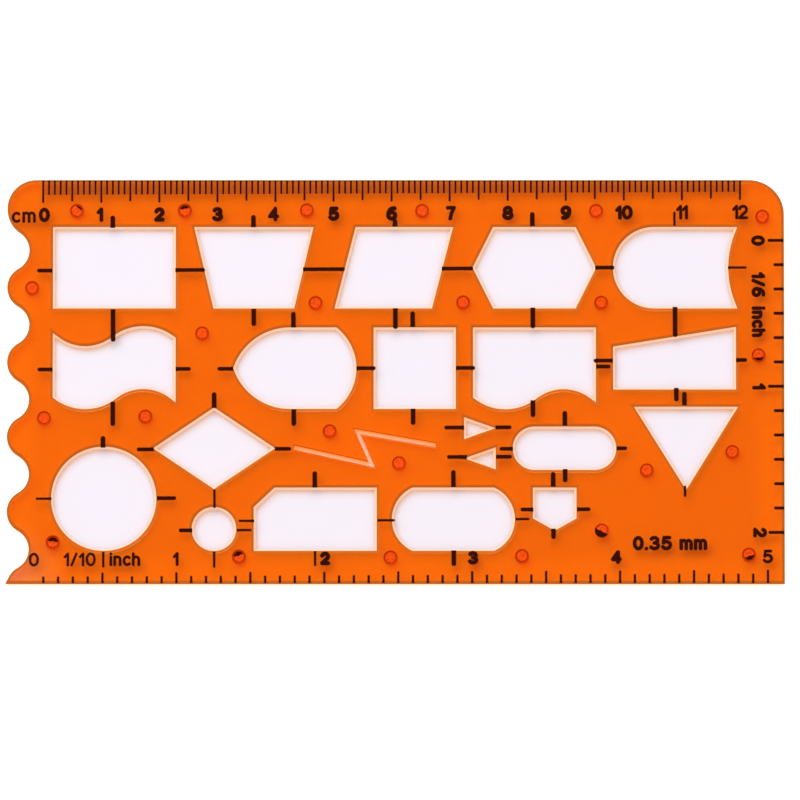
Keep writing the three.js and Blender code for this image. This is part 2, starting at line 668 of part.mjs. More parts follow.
// A pip is turned: a low foot under the sheet and a shank that fills the hole above it
function spacerPip() {
  const shankTop = PIP_FOOT_HEIGHT + SHEET_THICKNESS - PIP_TOP_RECESS;
  const footRadius = PIP_FOOT_DIAMETER / 2;
  const shankRadius = PIP_SHANK_DIAMETER / 2;
  const profile = [
    point(0, 0),
    point(PIP_SOLE_DIAMETER / 2, 0),
    point(footRadius, (PIP_FOOT_DIAMETER - PIP_SOLE_DIAMETER) / 2),
    point(footRadius, PIP_FOOT_HEIGHT),
    point(shankRadius, PIP_FOOT_HEIGHT),
    point(shankRadius, shankTop),
    point(0, shankTop),
  ];
  const turned = new THREE.LatheGeometry(profile, PIP_SIDES);
  turned.rotateX(Math.PI / 2);
  return turned;
}

const stencil = new THREE.Group();
stencil.name = "flowchart_stencil";

const sheetMaterial = new THREE.MeshStandardMaterial({
  color: 0xfb690c,
  roughness: 0.18,
  metalness: 0,
  transparent: true,
  opacity: 0.8,
});
const plate = new THREE.Mesh(templatePlate(), sheetMaterial);
plate.name = "template_plate";
plate.position.z = PIP_FOOT_HEIGHT;
stencil.add(plate);

const pipGeometry = spacerPip();
const pipMaterial = new THREE.MeshStandardMaterial({ color: 0xf9481f, roughness: 0.3, metalness: 0 });
pipPlaces().forEach((centre, index) => {
  const pip = new THREE.Mesh(pipGeometry, pipMaterial.clone());
  pip.name = `spacer_pip_${String(index + 1).padStart(2, "0")}`;
  pip.position.set(centre.x, centre.y, 0);
  stencil.add(pip);
});

export default stencil;
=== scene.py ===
# Flowchart drawing stencil: a clear orange sheet with drafted cut-outs, stamped scales and marks, and
# redder spacer pips. Lengths inside the functions are in millimetres and go into the meshes in metres.
import math
import random

import bpy
from mathutils import Matrix, Vector
from mathutils.geometry import delaunay_2d_cdt


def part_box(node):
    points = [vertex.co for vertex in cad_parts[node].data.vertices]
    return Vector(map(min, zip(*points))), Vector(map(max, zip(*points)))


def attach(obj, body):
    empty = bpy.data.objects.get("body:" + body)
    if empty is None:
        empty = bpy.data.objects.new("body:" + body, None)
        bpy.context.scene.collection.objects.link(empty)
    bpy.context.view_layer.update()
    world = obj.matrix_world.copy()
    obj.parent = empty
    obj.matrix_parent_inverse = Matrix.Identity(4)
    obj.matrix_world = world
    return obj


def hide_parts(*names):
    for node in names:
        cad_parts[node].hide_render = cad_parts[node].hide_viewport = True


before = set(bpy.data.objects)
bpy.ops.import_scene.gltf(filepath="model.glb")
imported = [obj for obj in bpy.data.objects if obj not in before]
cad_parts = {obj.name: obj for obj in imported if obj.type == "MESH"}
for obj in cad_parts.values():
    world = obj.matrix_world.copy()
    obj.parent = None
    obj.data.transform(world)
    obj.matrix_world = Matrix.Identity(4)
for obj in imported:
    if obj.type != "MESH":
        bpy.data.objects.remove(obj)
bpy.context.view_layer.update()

bl_info = {
    "name": "Flowchart Drawing Stencil",
    "version": (1, 0, 0),
    "blender": (4, 5, 0),
    "location": "3D Viewport > Sidebar > Stencil",
    "description": "Builds a clear flowchart stencil with its pips, scales, marks and studio",
    "category": "Add Mesh",
}

MM = 0.001
SHEET_LOW, SHEET_HIGH = (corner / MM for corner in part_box("template_plate"))
LEFT_EDGE, BOTTOM_EDGE, UNDERSIDE = SHEET_LOW
RIGHT_EDGE, TOP_EDGE, INK_FACE = SHEET_HIGH
PIP_NODES = sorted(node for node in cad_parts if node.startswith("spacer_pip"))

# The ink stands this far above the sheet's own face, and reaches this far down into its groove
INK_PROUD = 0.012
INK_DEPTH = 0.1
FACE = INK_FACE - INK_PROUD

# Thickness of the film of painted ink shadow above and below the sheet's face
FILM_PROUD = 0.004
FILM_DEPTH = 0.02

# Softened edges of the sheet and of a pip's seat, from the flat face to the wall: shares of width and drop
SOFT_PROFILE = ((1.0, 0.0), (0.8, 0.03), (0.5, 0.17), (0.22, 0.5), (0.0, 1.0))
SEAT_PROFILE = ((1.0, 0.0), (0.8, 0.3), (0.0, 1.0))

# Margins and gaps between the mouths of the cut-outs
LEFT_MARGIN = 7.85
COLUMN_GAP = 2.95
TOP_MARGIN = 8.15
ROW_GAP = 3.3
LOWER_ROW_GAP = 3.05
BOTTOM_MARGIN = 5.7

# Smaller sizes of the symbols
TRAPEZOID_TOP_WIDTH = 19.1
TRAPEZOID_BOTTOM_WIDTH = 13.0
PARALLELOGRAM_WIDTH = 15.6
PARALLELOGRAM_SKEW = 3.35
HEXAGON_POINT_DEPTH = 3.25
STORED_DATA_HOLLOW = 1.3
WAVE_RISE = 1.75
TAPE_HEIGHT = 9.8
DISPLAY_NOSE_RADIUS = 9.7
DISPLAY_BACK_RADIUS = 8.45
SQUARE_SIDE = 13.0
DOCUMENT_HEIGHT = 11.35
INPUT_LEFT_HEIGHT = 6.4
INPUT_RIGHT_HEIGHT = 9.65
CARD_CORNER_WIDTH = 3.25
CARD_CORNER_HEIGHT = 3.05
TERMINATOR_END_RADIUS = 5.45
CONNECTOR_DIAMETER = 16.95
SMALL_CONNECTOR_DIAMETER = 6.5
DIAMOND_WIDTH = 18.95
DIAMOND_HEIGHT = 12.8
PENTAGON_WIDTH = 6.35
PENTAGON_SIDE_HEIGHT = 4.45
PENTAGON_POINT_DEPTH = 1.8
MERGE_WIDTH = 15.85
MERGE_HEIGHT = 12.8
ARROW_LENGTH = 3.1
ARROW_WIDTH = 2.2
BOLT_SLOT_WIDTH = 0.1
BOLT_HALF_LENGTH = 11.9
BOLT_RISE = 5.78
BOLT_LEAN = 2.54
BOLT_LEFT_END_RISE = 0.05
BOLT_RIGHT_END_RISE = 0.57

# Scales
CENTIMETRE = 10
CENTIMETRES = 12
CENTIMETRE_ZERO = 6.15
INCH = 25.4
INCHES_ALONG = 5
INCHES_ACROSS = 2
TENTHS_ZERO = 3.8
SIXTHS_ZERO = 10.55
TENTHS_PER_HALF_INCH = 5
SIXTHS_PER_INCH = 6

# Lines through the middle of the numerals and words
TOP_LINE = 29.25
LOW_LINE = -30.7
SIDE_LINE = 62.5

# How far some numerals stand beside their tick, by their number
TOP_ASIDE = {0: 0.33, 1: -0.1, 4: -0.2, 7: 0.35}
TOP_ASIDE_ELSE = 0.15
LOW_ASIDE = {1: -0.25, 4: -0.77, 5: -0.17}
SIDE_ASIDE = -0.3

# Numerals that were stamped heavily or faintly
TOP_HEAVY = (2, 3, 5, 6, 8, 9)
TOP_FAINT = (11, 12)
LOW_HEAVY = (2, 3, 4)

# The inked pips: number, side of its end that is inked, in degrees, and how far the ink reaches inwards
INKED_PIPS = ((1, 55, 0.3), (2, 100, 0.55), (12, -88, 0.55), (19, 82, 0.75),
              (20, 112, 0.7), (23, -118, 1.15), (24, -72, 0.7))
INK_WAVES = 7
INK_WAVINESS = 0.09
INK_SHORT_OF_RIM = 0.04

# Width of the strips in which the paper's tint and the floor's painted glow fade
PAPER_FADE = 3
GLOW_FADE = 0.4

# How far the haze of the worn corner reaches
HAZE_REACH = 12

ARC_STEP = math.radians(5)
FULL_TURN = 2 * math.pi
DOWNWARDS = -math.pi / 2
SHARP_ANGLE = math.radians(35)

# Corners of a flat patch that are nearer to each other than this become one, in millimetres
MERGE_DISTANCE = 1e-6
STROKE_MERGE_DISTANCE = 1e-5

# Height above the underside at which the painted shade on a pip's foot ends
PIP_SHADE_FADE = 0.1

SHEET_IOR = 1.49
BLACK = (0, 0, 0, 1)
WHITE = (1, 1, 1, 1)

# The stage, in metres
FLOOR_HALF = 2.0
KEY_LIGHT_PLACE = (-0.35, 0.65, 0.95)
FRONT_FILL_PLACE = (0.5, -1.0, 0.6)
NEAREST_SEEN, FARTHEST_SEEN = 0.05, 50.0


def srgb(red, green, blue):
    """A colour given in display values from 0 to 255, as scene-linear red, green, blue and alpha."""
    def linear(value):
        share = value / 255
        return share / 12.92 if share <= 0.04045 else ((share + 0.055) / 1.055) ** 2.4
    return (linear(red), linear(green), linear(blue), 1.0)


def length(label, millimetres, description):
    return bpy.props.FloatProperty(
        name=label, description=description, default=millimetres * MM,
        unit="LENGTH", subtype="DISTANCE", precision=5)


def colour(label, default, description):
    return bpy.props.FloatVectorProperty(
        name=label, description=description, default=default, size=4,
        min=0.0, max=1.0, subtype="COLOR")


def share(label, default, description):
    return bpy.props.FloatProperty(
        name=label, description=description, default=default, min=0.0, max=1.0, subtype="FACTOR")


class StencilSheetSizes(bpy.types.PropertyGroup):
    """Sizes of the sheet and of its main cut-outs."""
    symbol_width: length("Symbol Width", 20.0, "Width of the wide symbols as drawn")
    symbol_height: length("Symbol Height", 13.05, "Height of the tall symbols as drawn")
    card_height: length("Card Height", 9.85, "Height of the punched card and of the large terminator")
    pill_width: length("Pill Width", 16.65, "Width of the small terminator")
    pill_height: length("Pill Height", 6.4, "Height of the small terminator")
    pen_allowance: length("Pen Allowance", 0.35, "How much wider than the drawn symbol its guide is")
    wall_draft: length("Wall Draft", 0.4, "How far the wall of a cut-out leans outwards")
    slot_draft: length("Slot Draft", 0.12, "How far the wall of the bolt's slot leans outwards")
    guide_land: length("Guide Land", 0.3, "Height of the upright strip that guides the pen")
    land_draft: length("Land Draft", 0.04, "How far the upright strip leans outwards")
    lip_width: length("Lip Width", 0.58, "Width of the softened lips round the cut-outs")
    lip_drop: length("Lip Drop", 0.34, "How far the softened lips fall towards the wall")
    slot_lip: length("Slot Lip", 0.2, "Width of the softened lips of the bolt's slot")
    foot_round: length("Foot Rounding", 0.06, "Rounding of the lower edges")
    edge_width: length("Edge Width", 0.6, "Width of the softened outer edges")
    edge_drop: length("Edge Drop", 0.16, "How far the softened outer edges fall towards the side")
    corner_left: length("Left Corner", 5.0, "Radius of the corner above the finger edge")
    corner_right: length("Right Corner", 6.0, "Radius of the top right corner")
    scallop_pitch: length("Scallop Pitch", 13.0, "Distance from one scallop to the next")
    scallop_depth: length("Scallop Depth", 3.8, "Depth of the scallops")


class StencilPrintSizes(bpy.types.PropertyGroup):
    """Sizes of the stamped scales, centre marks and numerals."""
    tilt: bpy.props.FloatProperty(
        name="Print Tilt", description="How far the stamping is turned against the sheet",
        default=math.radians(0.25), subtype="ANGLE", unit="ROTATION")
    centimetre_tick_width: length("Centimetre Tick Width", 0.31, "Width of the ticks of the top scale")
    tenth_tick_width: length("Tenth Inch Tick Width", 0.36, "Width of the ticks of the bottom scale")
    sixth_tick_width: length("Sixth Inch Tick Width", 0.48, "Width of the ticks of the right scale")
    millimetre_tick: length("Millimetre Tick", 2.35, "Length of the shortest ticks of the top scale")
    half_centimetre_tick: length("Half Centimetre Tick", 3.5, "Length of every fifth tick of the top scale")
    centimetre_tick: length("Centimetre Tick", 3.75, "Length of every tenth tick of the top scale")
    tenth_tick: length("Tenth Inch Tick", 1.45, "Length of the short ticks of the bottom scale")
    half_inch_tick: length("Half Inch Tick", 2.08, "Length of every fifth tick of the bottom scale")
    sixth_tick: length("Sixth Inch Tick", 1.8, "Length of the short ticks of the right scale")
    inch_tick: length("Inch Tick", 2.8, "Length of the long ticks of the right scale")
    tick_margin: length("Tick Margin", 0.08, "Gap between the ticks and the sheet's edge")
    upright_mark_width: length("Upright Mark Width", 0.77, "Width of the bold marks over and under a cut-out")
    level_mark_width: length("Level Mark Width", 0.62, "Width of the bold marks beside a cut-out")
    fine_mark_width: length("Fine Mark Width", 0.37, "Width of the fine centre marks")
    # The ink's thin brown edge below is painted shadow of the ink round each mark
    bleed: length("Ink Bleed", 0.1, "Width of the thin brown edge of the ink")
    numeral_height: length("Numeral Height", 2.5, "Height of the numerals of the top scale")
    low_numeral_height: length("Low Numeral Height", 2.35, "Height of the numerals of the other scales")
    numeral_stroke: length("Numeral Stroke", 0.61, "Stroke of the bold numerals")
    heavy_stroke: length("Heavy Stroke", 0.7, "Stroke of the heavily stamped numerals")
    faint_stroke: length("Faint Stroke", 0.48, "Stroke of the faintly stamped numerals")
    word_stroke: length("Word Stroke", 0.45, "Stroke of the unit words")
    side_stroke: length("Side Stroke", 0.6, "Stroke of the unit words of the right scale")
    fine_stroke: length("Fine Stroke", 0.39, "Stroke of the fine numerals")


class StencilPipSizes(bpy.types.PropertyGroup):
    """Sizes of the spacer pips."""
    sole: length("Sole", 1.8, "Diameter of the flat sole")
    foot: length("Foot", 2.4, "Diameter of the foot under the sheet")
    shank: length("Shank", 1.85, "Diameter of the shank in the sheet")
    clearance: length("Clearance", 0.05, "Gap between the shank and its hole")
    seat: length("Seat", 0.24, "Width of the countersunk edge of a hole")
    seat_drop: length("Seat Drop", 0.3, "How far the countersunk edge falls")
    recess: length("Recess", 0.05, "How far the shank ends below the face")
    dimple: length("Dimple", 0.06, "Depth of the sink mark in the shank's end")
    flare_height: length("Flare Height", 0.3, "Height at which the foot has its full width")
    edge_round: length("Edge Rounding", 0.06, "Rounding of the foot's edges")
    end_round: length("End Rounding", 0.2, "Width of the rounded rim of the shank's end")
    unevenness: length("Unevenness", 0.13, "How far the middle of a shank's end may be off its axis")


class StencilFinish(bpy.types.PropertyGroup):
    """Colours and shares of the finishes."""
    sheet: colour("Sheet", srgb(250, 169, 18), "Tint that the clear sheet gives to what is seen through it")
    haze: colour("Haze", srgb(247, 200, 150), "Tint of the worn lower left corner")
    sheet_shade: colour("Sheet Shade", srgb(240, 200, 70), "Tint of the light that falls through the sheet")
    sheet_glow: colour("Sheet Glow", srgb(255, 75, 4), "Fluorescent light of the sheet")
    glow_strength: share("Glow Strength", 0.08, "Brightness of the sheet's fluorescent light")
    clarity: share("Clarity", 0.9, "How much of the light goes through the sheet")
    # The cut wall's colour is graded by height as painted shade: greyer at the foot for the contact shade,
    # deeper orange towards the mouth
    wall_low: colour("Wall Low", srgb(228, 206, 190), "Cut wall near the paper")
    wall_high: colour("Wall High", srgb(228, 165, 115), "Cut wall near the mouth")
    wall_glow: colour("Wall Glow", srgb(255, 205, 165), "Light that leaves the sheet through its cut walls")
    wall_glow_strength: share("Wall Glow Strength", 0.36, "Brightness of the light from the cut walls")
    wall_shade: colour("Wall Shade", srgb(190, 170, 150), "Tint of the light that leaves through a cut wall")
    wall_entry: colour("Wall Entry", srgb(140, 170, 165), "Tint of the light that enters through a cut wall")
    # The guide land is greyed like the wall's foot, as painted contact shade
    land: colour("Guide Land", srgb(224, 202, 188), "Upright strip that guides the pen")
    land_entry: colour("Land Entry", srgb(30, 55, 60), "Tint of the light that enters through the guide land")
    slot: colour("Slot Wall", srgb(240, 165, 92), "Walls of the narrow slot")
    slot_glow: colour("Slot Glow", srgb(255, 162, 80), "Light that leaves the sheet through the slot's walls")
    slot_entry: colour("Slot Entry", srgb(200, 160, 70), "Tint of the light that enters through the slot")
    # The lips are painted a darker orange than the sheet, for the shade along the mouths; their lit and
    # shaded sides come from the lamps
    lip: colour("Lip", srgb(212, 100, 12), "Softened lips round the cut-outs")
    # The seats are painted a darker red, for the dark ring of shade round each pip
    seat: colour("Pip Seat", srgb(206, 74, 8), "Countersunk edges round the spacer pips")
    # The outer edges are painted a darker orange, for the shaded band along the sheet's edge
    edge: colour("Outer Edge", srgb(197, 97, 19), "Softened outer edges")
    edge_shade: colour("Edge Shade", srgb(226, 140, 30), "Tint of the light that falls through an outer edge")
    pip: colour("Pip", srgb(240, 76, 4), "Spacer pips")
    pip_shade: colour("Pip Shade", srgb(250, 180, 150), "Tint of the light that falls through a spacer pip")
    # Painted shade: the pip's foot under the sheet is coloured darker
    pip_rim: colour("Pip Rim", srgb(176, 44, 6), "Foot of the spacer pips, in the sheet's shade")
    ink: colour("Ink", srgb(53, 12, 2), "Stamping ink")
    # The ink's thin brown edge and its cover paint the ink's shadow round each mark
    bleed: colour("Ink Bleed", srgb(135, 82, 36), "Thin edge of the ink")
    bleed_cover: share("Bleed Cover", 0.22, "How much of the sheet the ink's thin edge hides")
    paper: colour("Paper", srgb(241, 235, 245), "Paper under the stencil")
    floor: colour("Floor", srgb(252, 252, 252), "Floor round the stencil")
    # Painted glow of the floor beside the sheet, which washes out the sheet's shadow there
    floor_glow: share("Floor Glow", 0.48, "Light of the light table round the stencil")


class StencilStudio(bpy.types.PropertyGroup):
    """Camera and lights."""
    elevation: bpy.props.FloatProperty(
        name="Camera Elevation", description="Angle of the camera above the paper",
        default=math.radians(81.42), subtype="ANGLE", unit="ROTATION")
    lens: bpy.props.FloatProperty(
        name="Lens", description="Focal length of the camera, in millimetres", default=900.0)
    field: length("Field Width", 137.575, "Width of the strip of paper that fills the picture")
    aim_right: length("Aim Right", 0.748, "Where the camera aims, along the sheet")
    aim_up: length("Aim Up", -3.243, "Where the camera aims, across the sheet")
    key_power: bpy.props.FloatProperty(
        name="Key Power", description="Power of the soft light behind the top edge", default=10.8,
        subtype="POWER", unit="POWER")
    fill_power: bpy.props.FloatProperty(
        name="Fill Power", description="Power of the weak light in front", default=0.7,
        subtype="POWER", unit="POWER")
    sky: share("Sky", 0.6, "Brightness of the even light all round")
    mirrored_sky: share("Mirrored Sky", 0.08, "How bright the surroundings look in reflections")


def in_millimetres(settings):
    """The lengths of a property group as plain numbers in millimetres, by name."""
    names = [prop.identifier for prop in settings.bl_rna.properties if prop.unit == "LENGTH"]
    return {name: getattr(settings, name) / MM for name in names}


def point(x, y):
    return Vector((x, y))


def polar(radius, angle):
    return point(radius * math.cos(angle), radius * math.sin(angle))


# Outlines: each counter-clockwise round its own centre

def arc(centre_x, centre_y, radius, start, end):
    steps = 2 * max(1, round(abs(end - start) / ARC_STEP / 2))
    return [point(centre_x, centre_y) + polar(radius, start + (end - start) * step / steps)
            for step in range(steps + 1)]


def half_chord_angle(half_chord, radius):
    return math.asin(min(1, half_chord / radius))


def sag_radius(half_chord, sag):
    return (half_chord ** 2 + sag ** 2) / (2 * sag)


def polygon(*corners):
    return [point(x, y) for x, y in corners]


def rectangle(width, height):
    x, y = width / 2, height / 2
    return polygon((-x, -y), (x, -y), (x, y), (-x, y))


def trapezoid(top_width, bottom_width, height):
    y = height / 2
    return polygon((-bottom_width / 2, -y), (bottom_width / 2, -y), (top_width / 2, y), (-top_width / 2, y))


def parallelogram(width, height, skew):
    return [point(corner.x + skew * corner.y / height, corner.y) for corner in rectangle(width, height)]


def hexagon(width, height, point_depth):
    x, y = width / 2, height / 2
    flat = x - point_depth
    return polygon((-flat, -y), (flat, -y), (x, 0), (flat, y), (-flat, y), (-x, 0))


def stored_data(width, height, hollow):
    y = height / 2
    radius = sag_radius(y, hollow)
    swing = half_chord_angle(y, radius)
    right = arc(width / 2 - hollow + radius, 0, radius, math.pi + swing, math.pi - swing)
    left = arc(-width / 2 + y, 0, y, math.pi / 2, 1.5 * math.pi)
    return right + left


def wave_line(width, level, rise):
    """A line that dips and then rises, made of two equal arcs, from left to right."""
    half_chord = width / 4
    radius = sag_radius(half_chord, rise)
    swing = half_chord_angle(half_chord, radius)
    dip = arc(-half_chord, level - rise + radius, radius, DOWNWARDS - swing, DOWNWARDS + swing)
    crest = arc(half_chord, level + rise - radius, radius, -DOWNWARDS + swing, -DOWNWARDS - swing)
    return dip + crest[1:]


def tape(width, height, rise):
    return wave_line(width, -height / 2, rise) + wave_line(width, height / 2, rise)[::-1]


def document_sheet(width, height, rise):
    return wave_line(width, -height / 2, rise) + polygon((width / 2, height / 2), (-width / 2, height / 2))


def display(width, height):
    y = height / 2
    nose_drop = DISPLAY_NOSE_RADIUS - y
    nose_angle = math.asin(nose_drop / DISPLAY_NOSE_RADIUS)
    nose_x = -width / 2 + DISPLAY_NOSE_RADIUS * math.cos(nose_angle)
    swing = half_chord_angle(y, DISPLAY_BACK_RADIUS)
    back = arc(width / 2 - DISPLAY_BACK_RADIUS, 0, DISPLAY_BACK_RADIUS, -swing, swing)
    upper = arc(nose_x, -nose_drop, DISPLAY_NOSE_RADIUS, math.pi / 2, math.pi - nose_angle)
    lower = arc(nose_x, nose_drop, DISPLAY_NOSE_RADIUS, math.pi + nose_angle, 1.5 * math.pi)
    return back + upper + lower[1:]


def manual_input(width, left_height, right_height):
    x, y = width / 2, right_height / 2
    return polygon((-x, -y), (x, -y), (x, y), (-x, left_height - y))


def circle(diameter):
    return arc(0, 0, diameter / 2, 0, FULL_TURN)[1:]


def diamond(width, height):
    return polygon((0, -height / 2), (width / 2, 0), (0, height / 2), (-width / 2, 0))


def card(width, height, corner_width, corner_height):
    x, y = width / 2, height / 2
    return polygon((-x, -y), (x, -y), (x, y), (corner_width - x, y), (-x, y - corner_height))


def terminator(width, height, end_radius):
    swing = half_chord_angle(height / 2, end_radius)
    end_x = width / 2 - end_radius
    return (arc(end_x, 0, end_radius, -swing, swing)
            + arc(-end_x, 0, end_radius, math.pi - swing, math.pi + swing))


def pentagon(width, side_height, point_depth):
    x, y = width / 2, (side_height + point_depth) / 2
    return polygon((0, -y), (x, point_depth - y), (x, y), (-x, y), (-x, point_depth - y))


def triangle_down(width, height):
    return polygon((0, -height / 2), (width / 2, height / 2), (-width / 2, height / 2))


def arrowhead(long, wide, direction):
    x, y = direction * long / 2, wide / 2
    corners = polygon((x, 0), (-x, y), (-x, -y))
    return corners if direction > 0 else corners[::-1]


def slot_along(line, width):
    """A slot of even width along a bent line, with mitred turns."""
    left_side, right_side = [], []
    for before, here, after in zip([None] + line[:-1], line, line[1:] + [None]):
        incoming = (here - before).normalized() if before else (after - here).normalized()
        outgoing = (after - here).normalized() if after else incoming
        normal = point(-incoming.y - outgoing.y, incoming.x + outgoing.x)
        offset = normal * width / normal.length_squared
        left_side.append(here + offset)
        right_side.append(here - offset)
    return right_side + left_side[::-1]


def lightning_bolt():
    return slot_along(polygon(
        (-BOLT_HALF_LENGTH, BOLT_LEFT_END_RISE), (BOLT_LEAN / 2, -BOLT_RISE / 2),
        (-BOLT_LEAN / 2, BOLT_RISE / 2), (BOLT_HALF_LENGTH, BOLT_RIGHT_END_RISE)), BOLT_SLOT_WIDTH)


def grow(outline, distance):
    """The outline moved outwards by a distance, with mitred corners."""
    grown = []
    for before, here, after in zip([outline[-1]] + outline[:-1], outline, outline[1:] + [outline[0]]):
        incoming = (here - before).normalized()
        outgoing = (after - here).normalized()
        mitre = point(incoming.y + outgoing.y, -incoming.x - outgoing.x)
        grown.append(here + mitre * (2 * distance / mitre.length_squared))
    return grown


def moved(outline, centre):
    return [corner + centre for corner in outline]


def first_hollow(size):
    """Centre and radius of the uppermost hollow of the finger edge."""
    depth, pitch, corner = size["scallop_depth"], size["scallop_pitch"], size["corner_left"]
    radius = (depth ** 2 + (pitch / 2) ** 2) / (4 * depth)
    x = LEFT_EDGE + depth - radius
    return x, TOP_EDGE - corner - math.sqrt((corner + radius) ** 2 - (LEFT_EDGE + corner - x) ** 2), radius


def sheet_outline(size):
    """The sheet from the top left corner down the finger edge and round, counter-clockwise."""
    pitch, corner = size["scallop_pitch"], size["corner_left"]
    trough_x, trough_y, radius = first_hollow(size)
    swing = math.asin(pitch / 4 / radius)
    corner_x, corner_y = LEFT_EDGE + corner, TOP_EDGE - corner
    crest_x = LEFT_EDGE + radius
    entry = math.atan2(corner_y - trough_y, corner_x - trough_x)
    edge = (arc(corner_x, corner_y, corner, math.pi / 2, math.pi)
            + arc(corner_x, corner_y, corner, math.pi, math.pi + entry)[1:])
    while edge[-1].y > BOTTOM_EDGE:
        edge += arc(trough_x, trough_y, radius, entry, -swing)[1:]
        edge += arc(crest_x, trough_y - pitch / 2, radius, math.pi - swing, math.pi + swing)[1:]
        trough_y -= pitch
        entry = swing
    kept = [corner for corner in edge if corner.y > BOTTOM_EDGE + 2 * size["edge_width"]]
    last, following = kept[-1], edge[len(kept)]
    cut = last.lerp(following, (last.y - BOTTOM_EDGE) / (last.y - following.y))
    right = size["corner_right"]
    right_corner = arc(RIGHT_EDGE - right, TOP_EDGE - right, right, 0, math.pi / 2)
    return kept + [point(cut.x, BOTTOM_EDGE), point(RIGHT_EDGE, BOTTOM_EDGE)] + right_corner


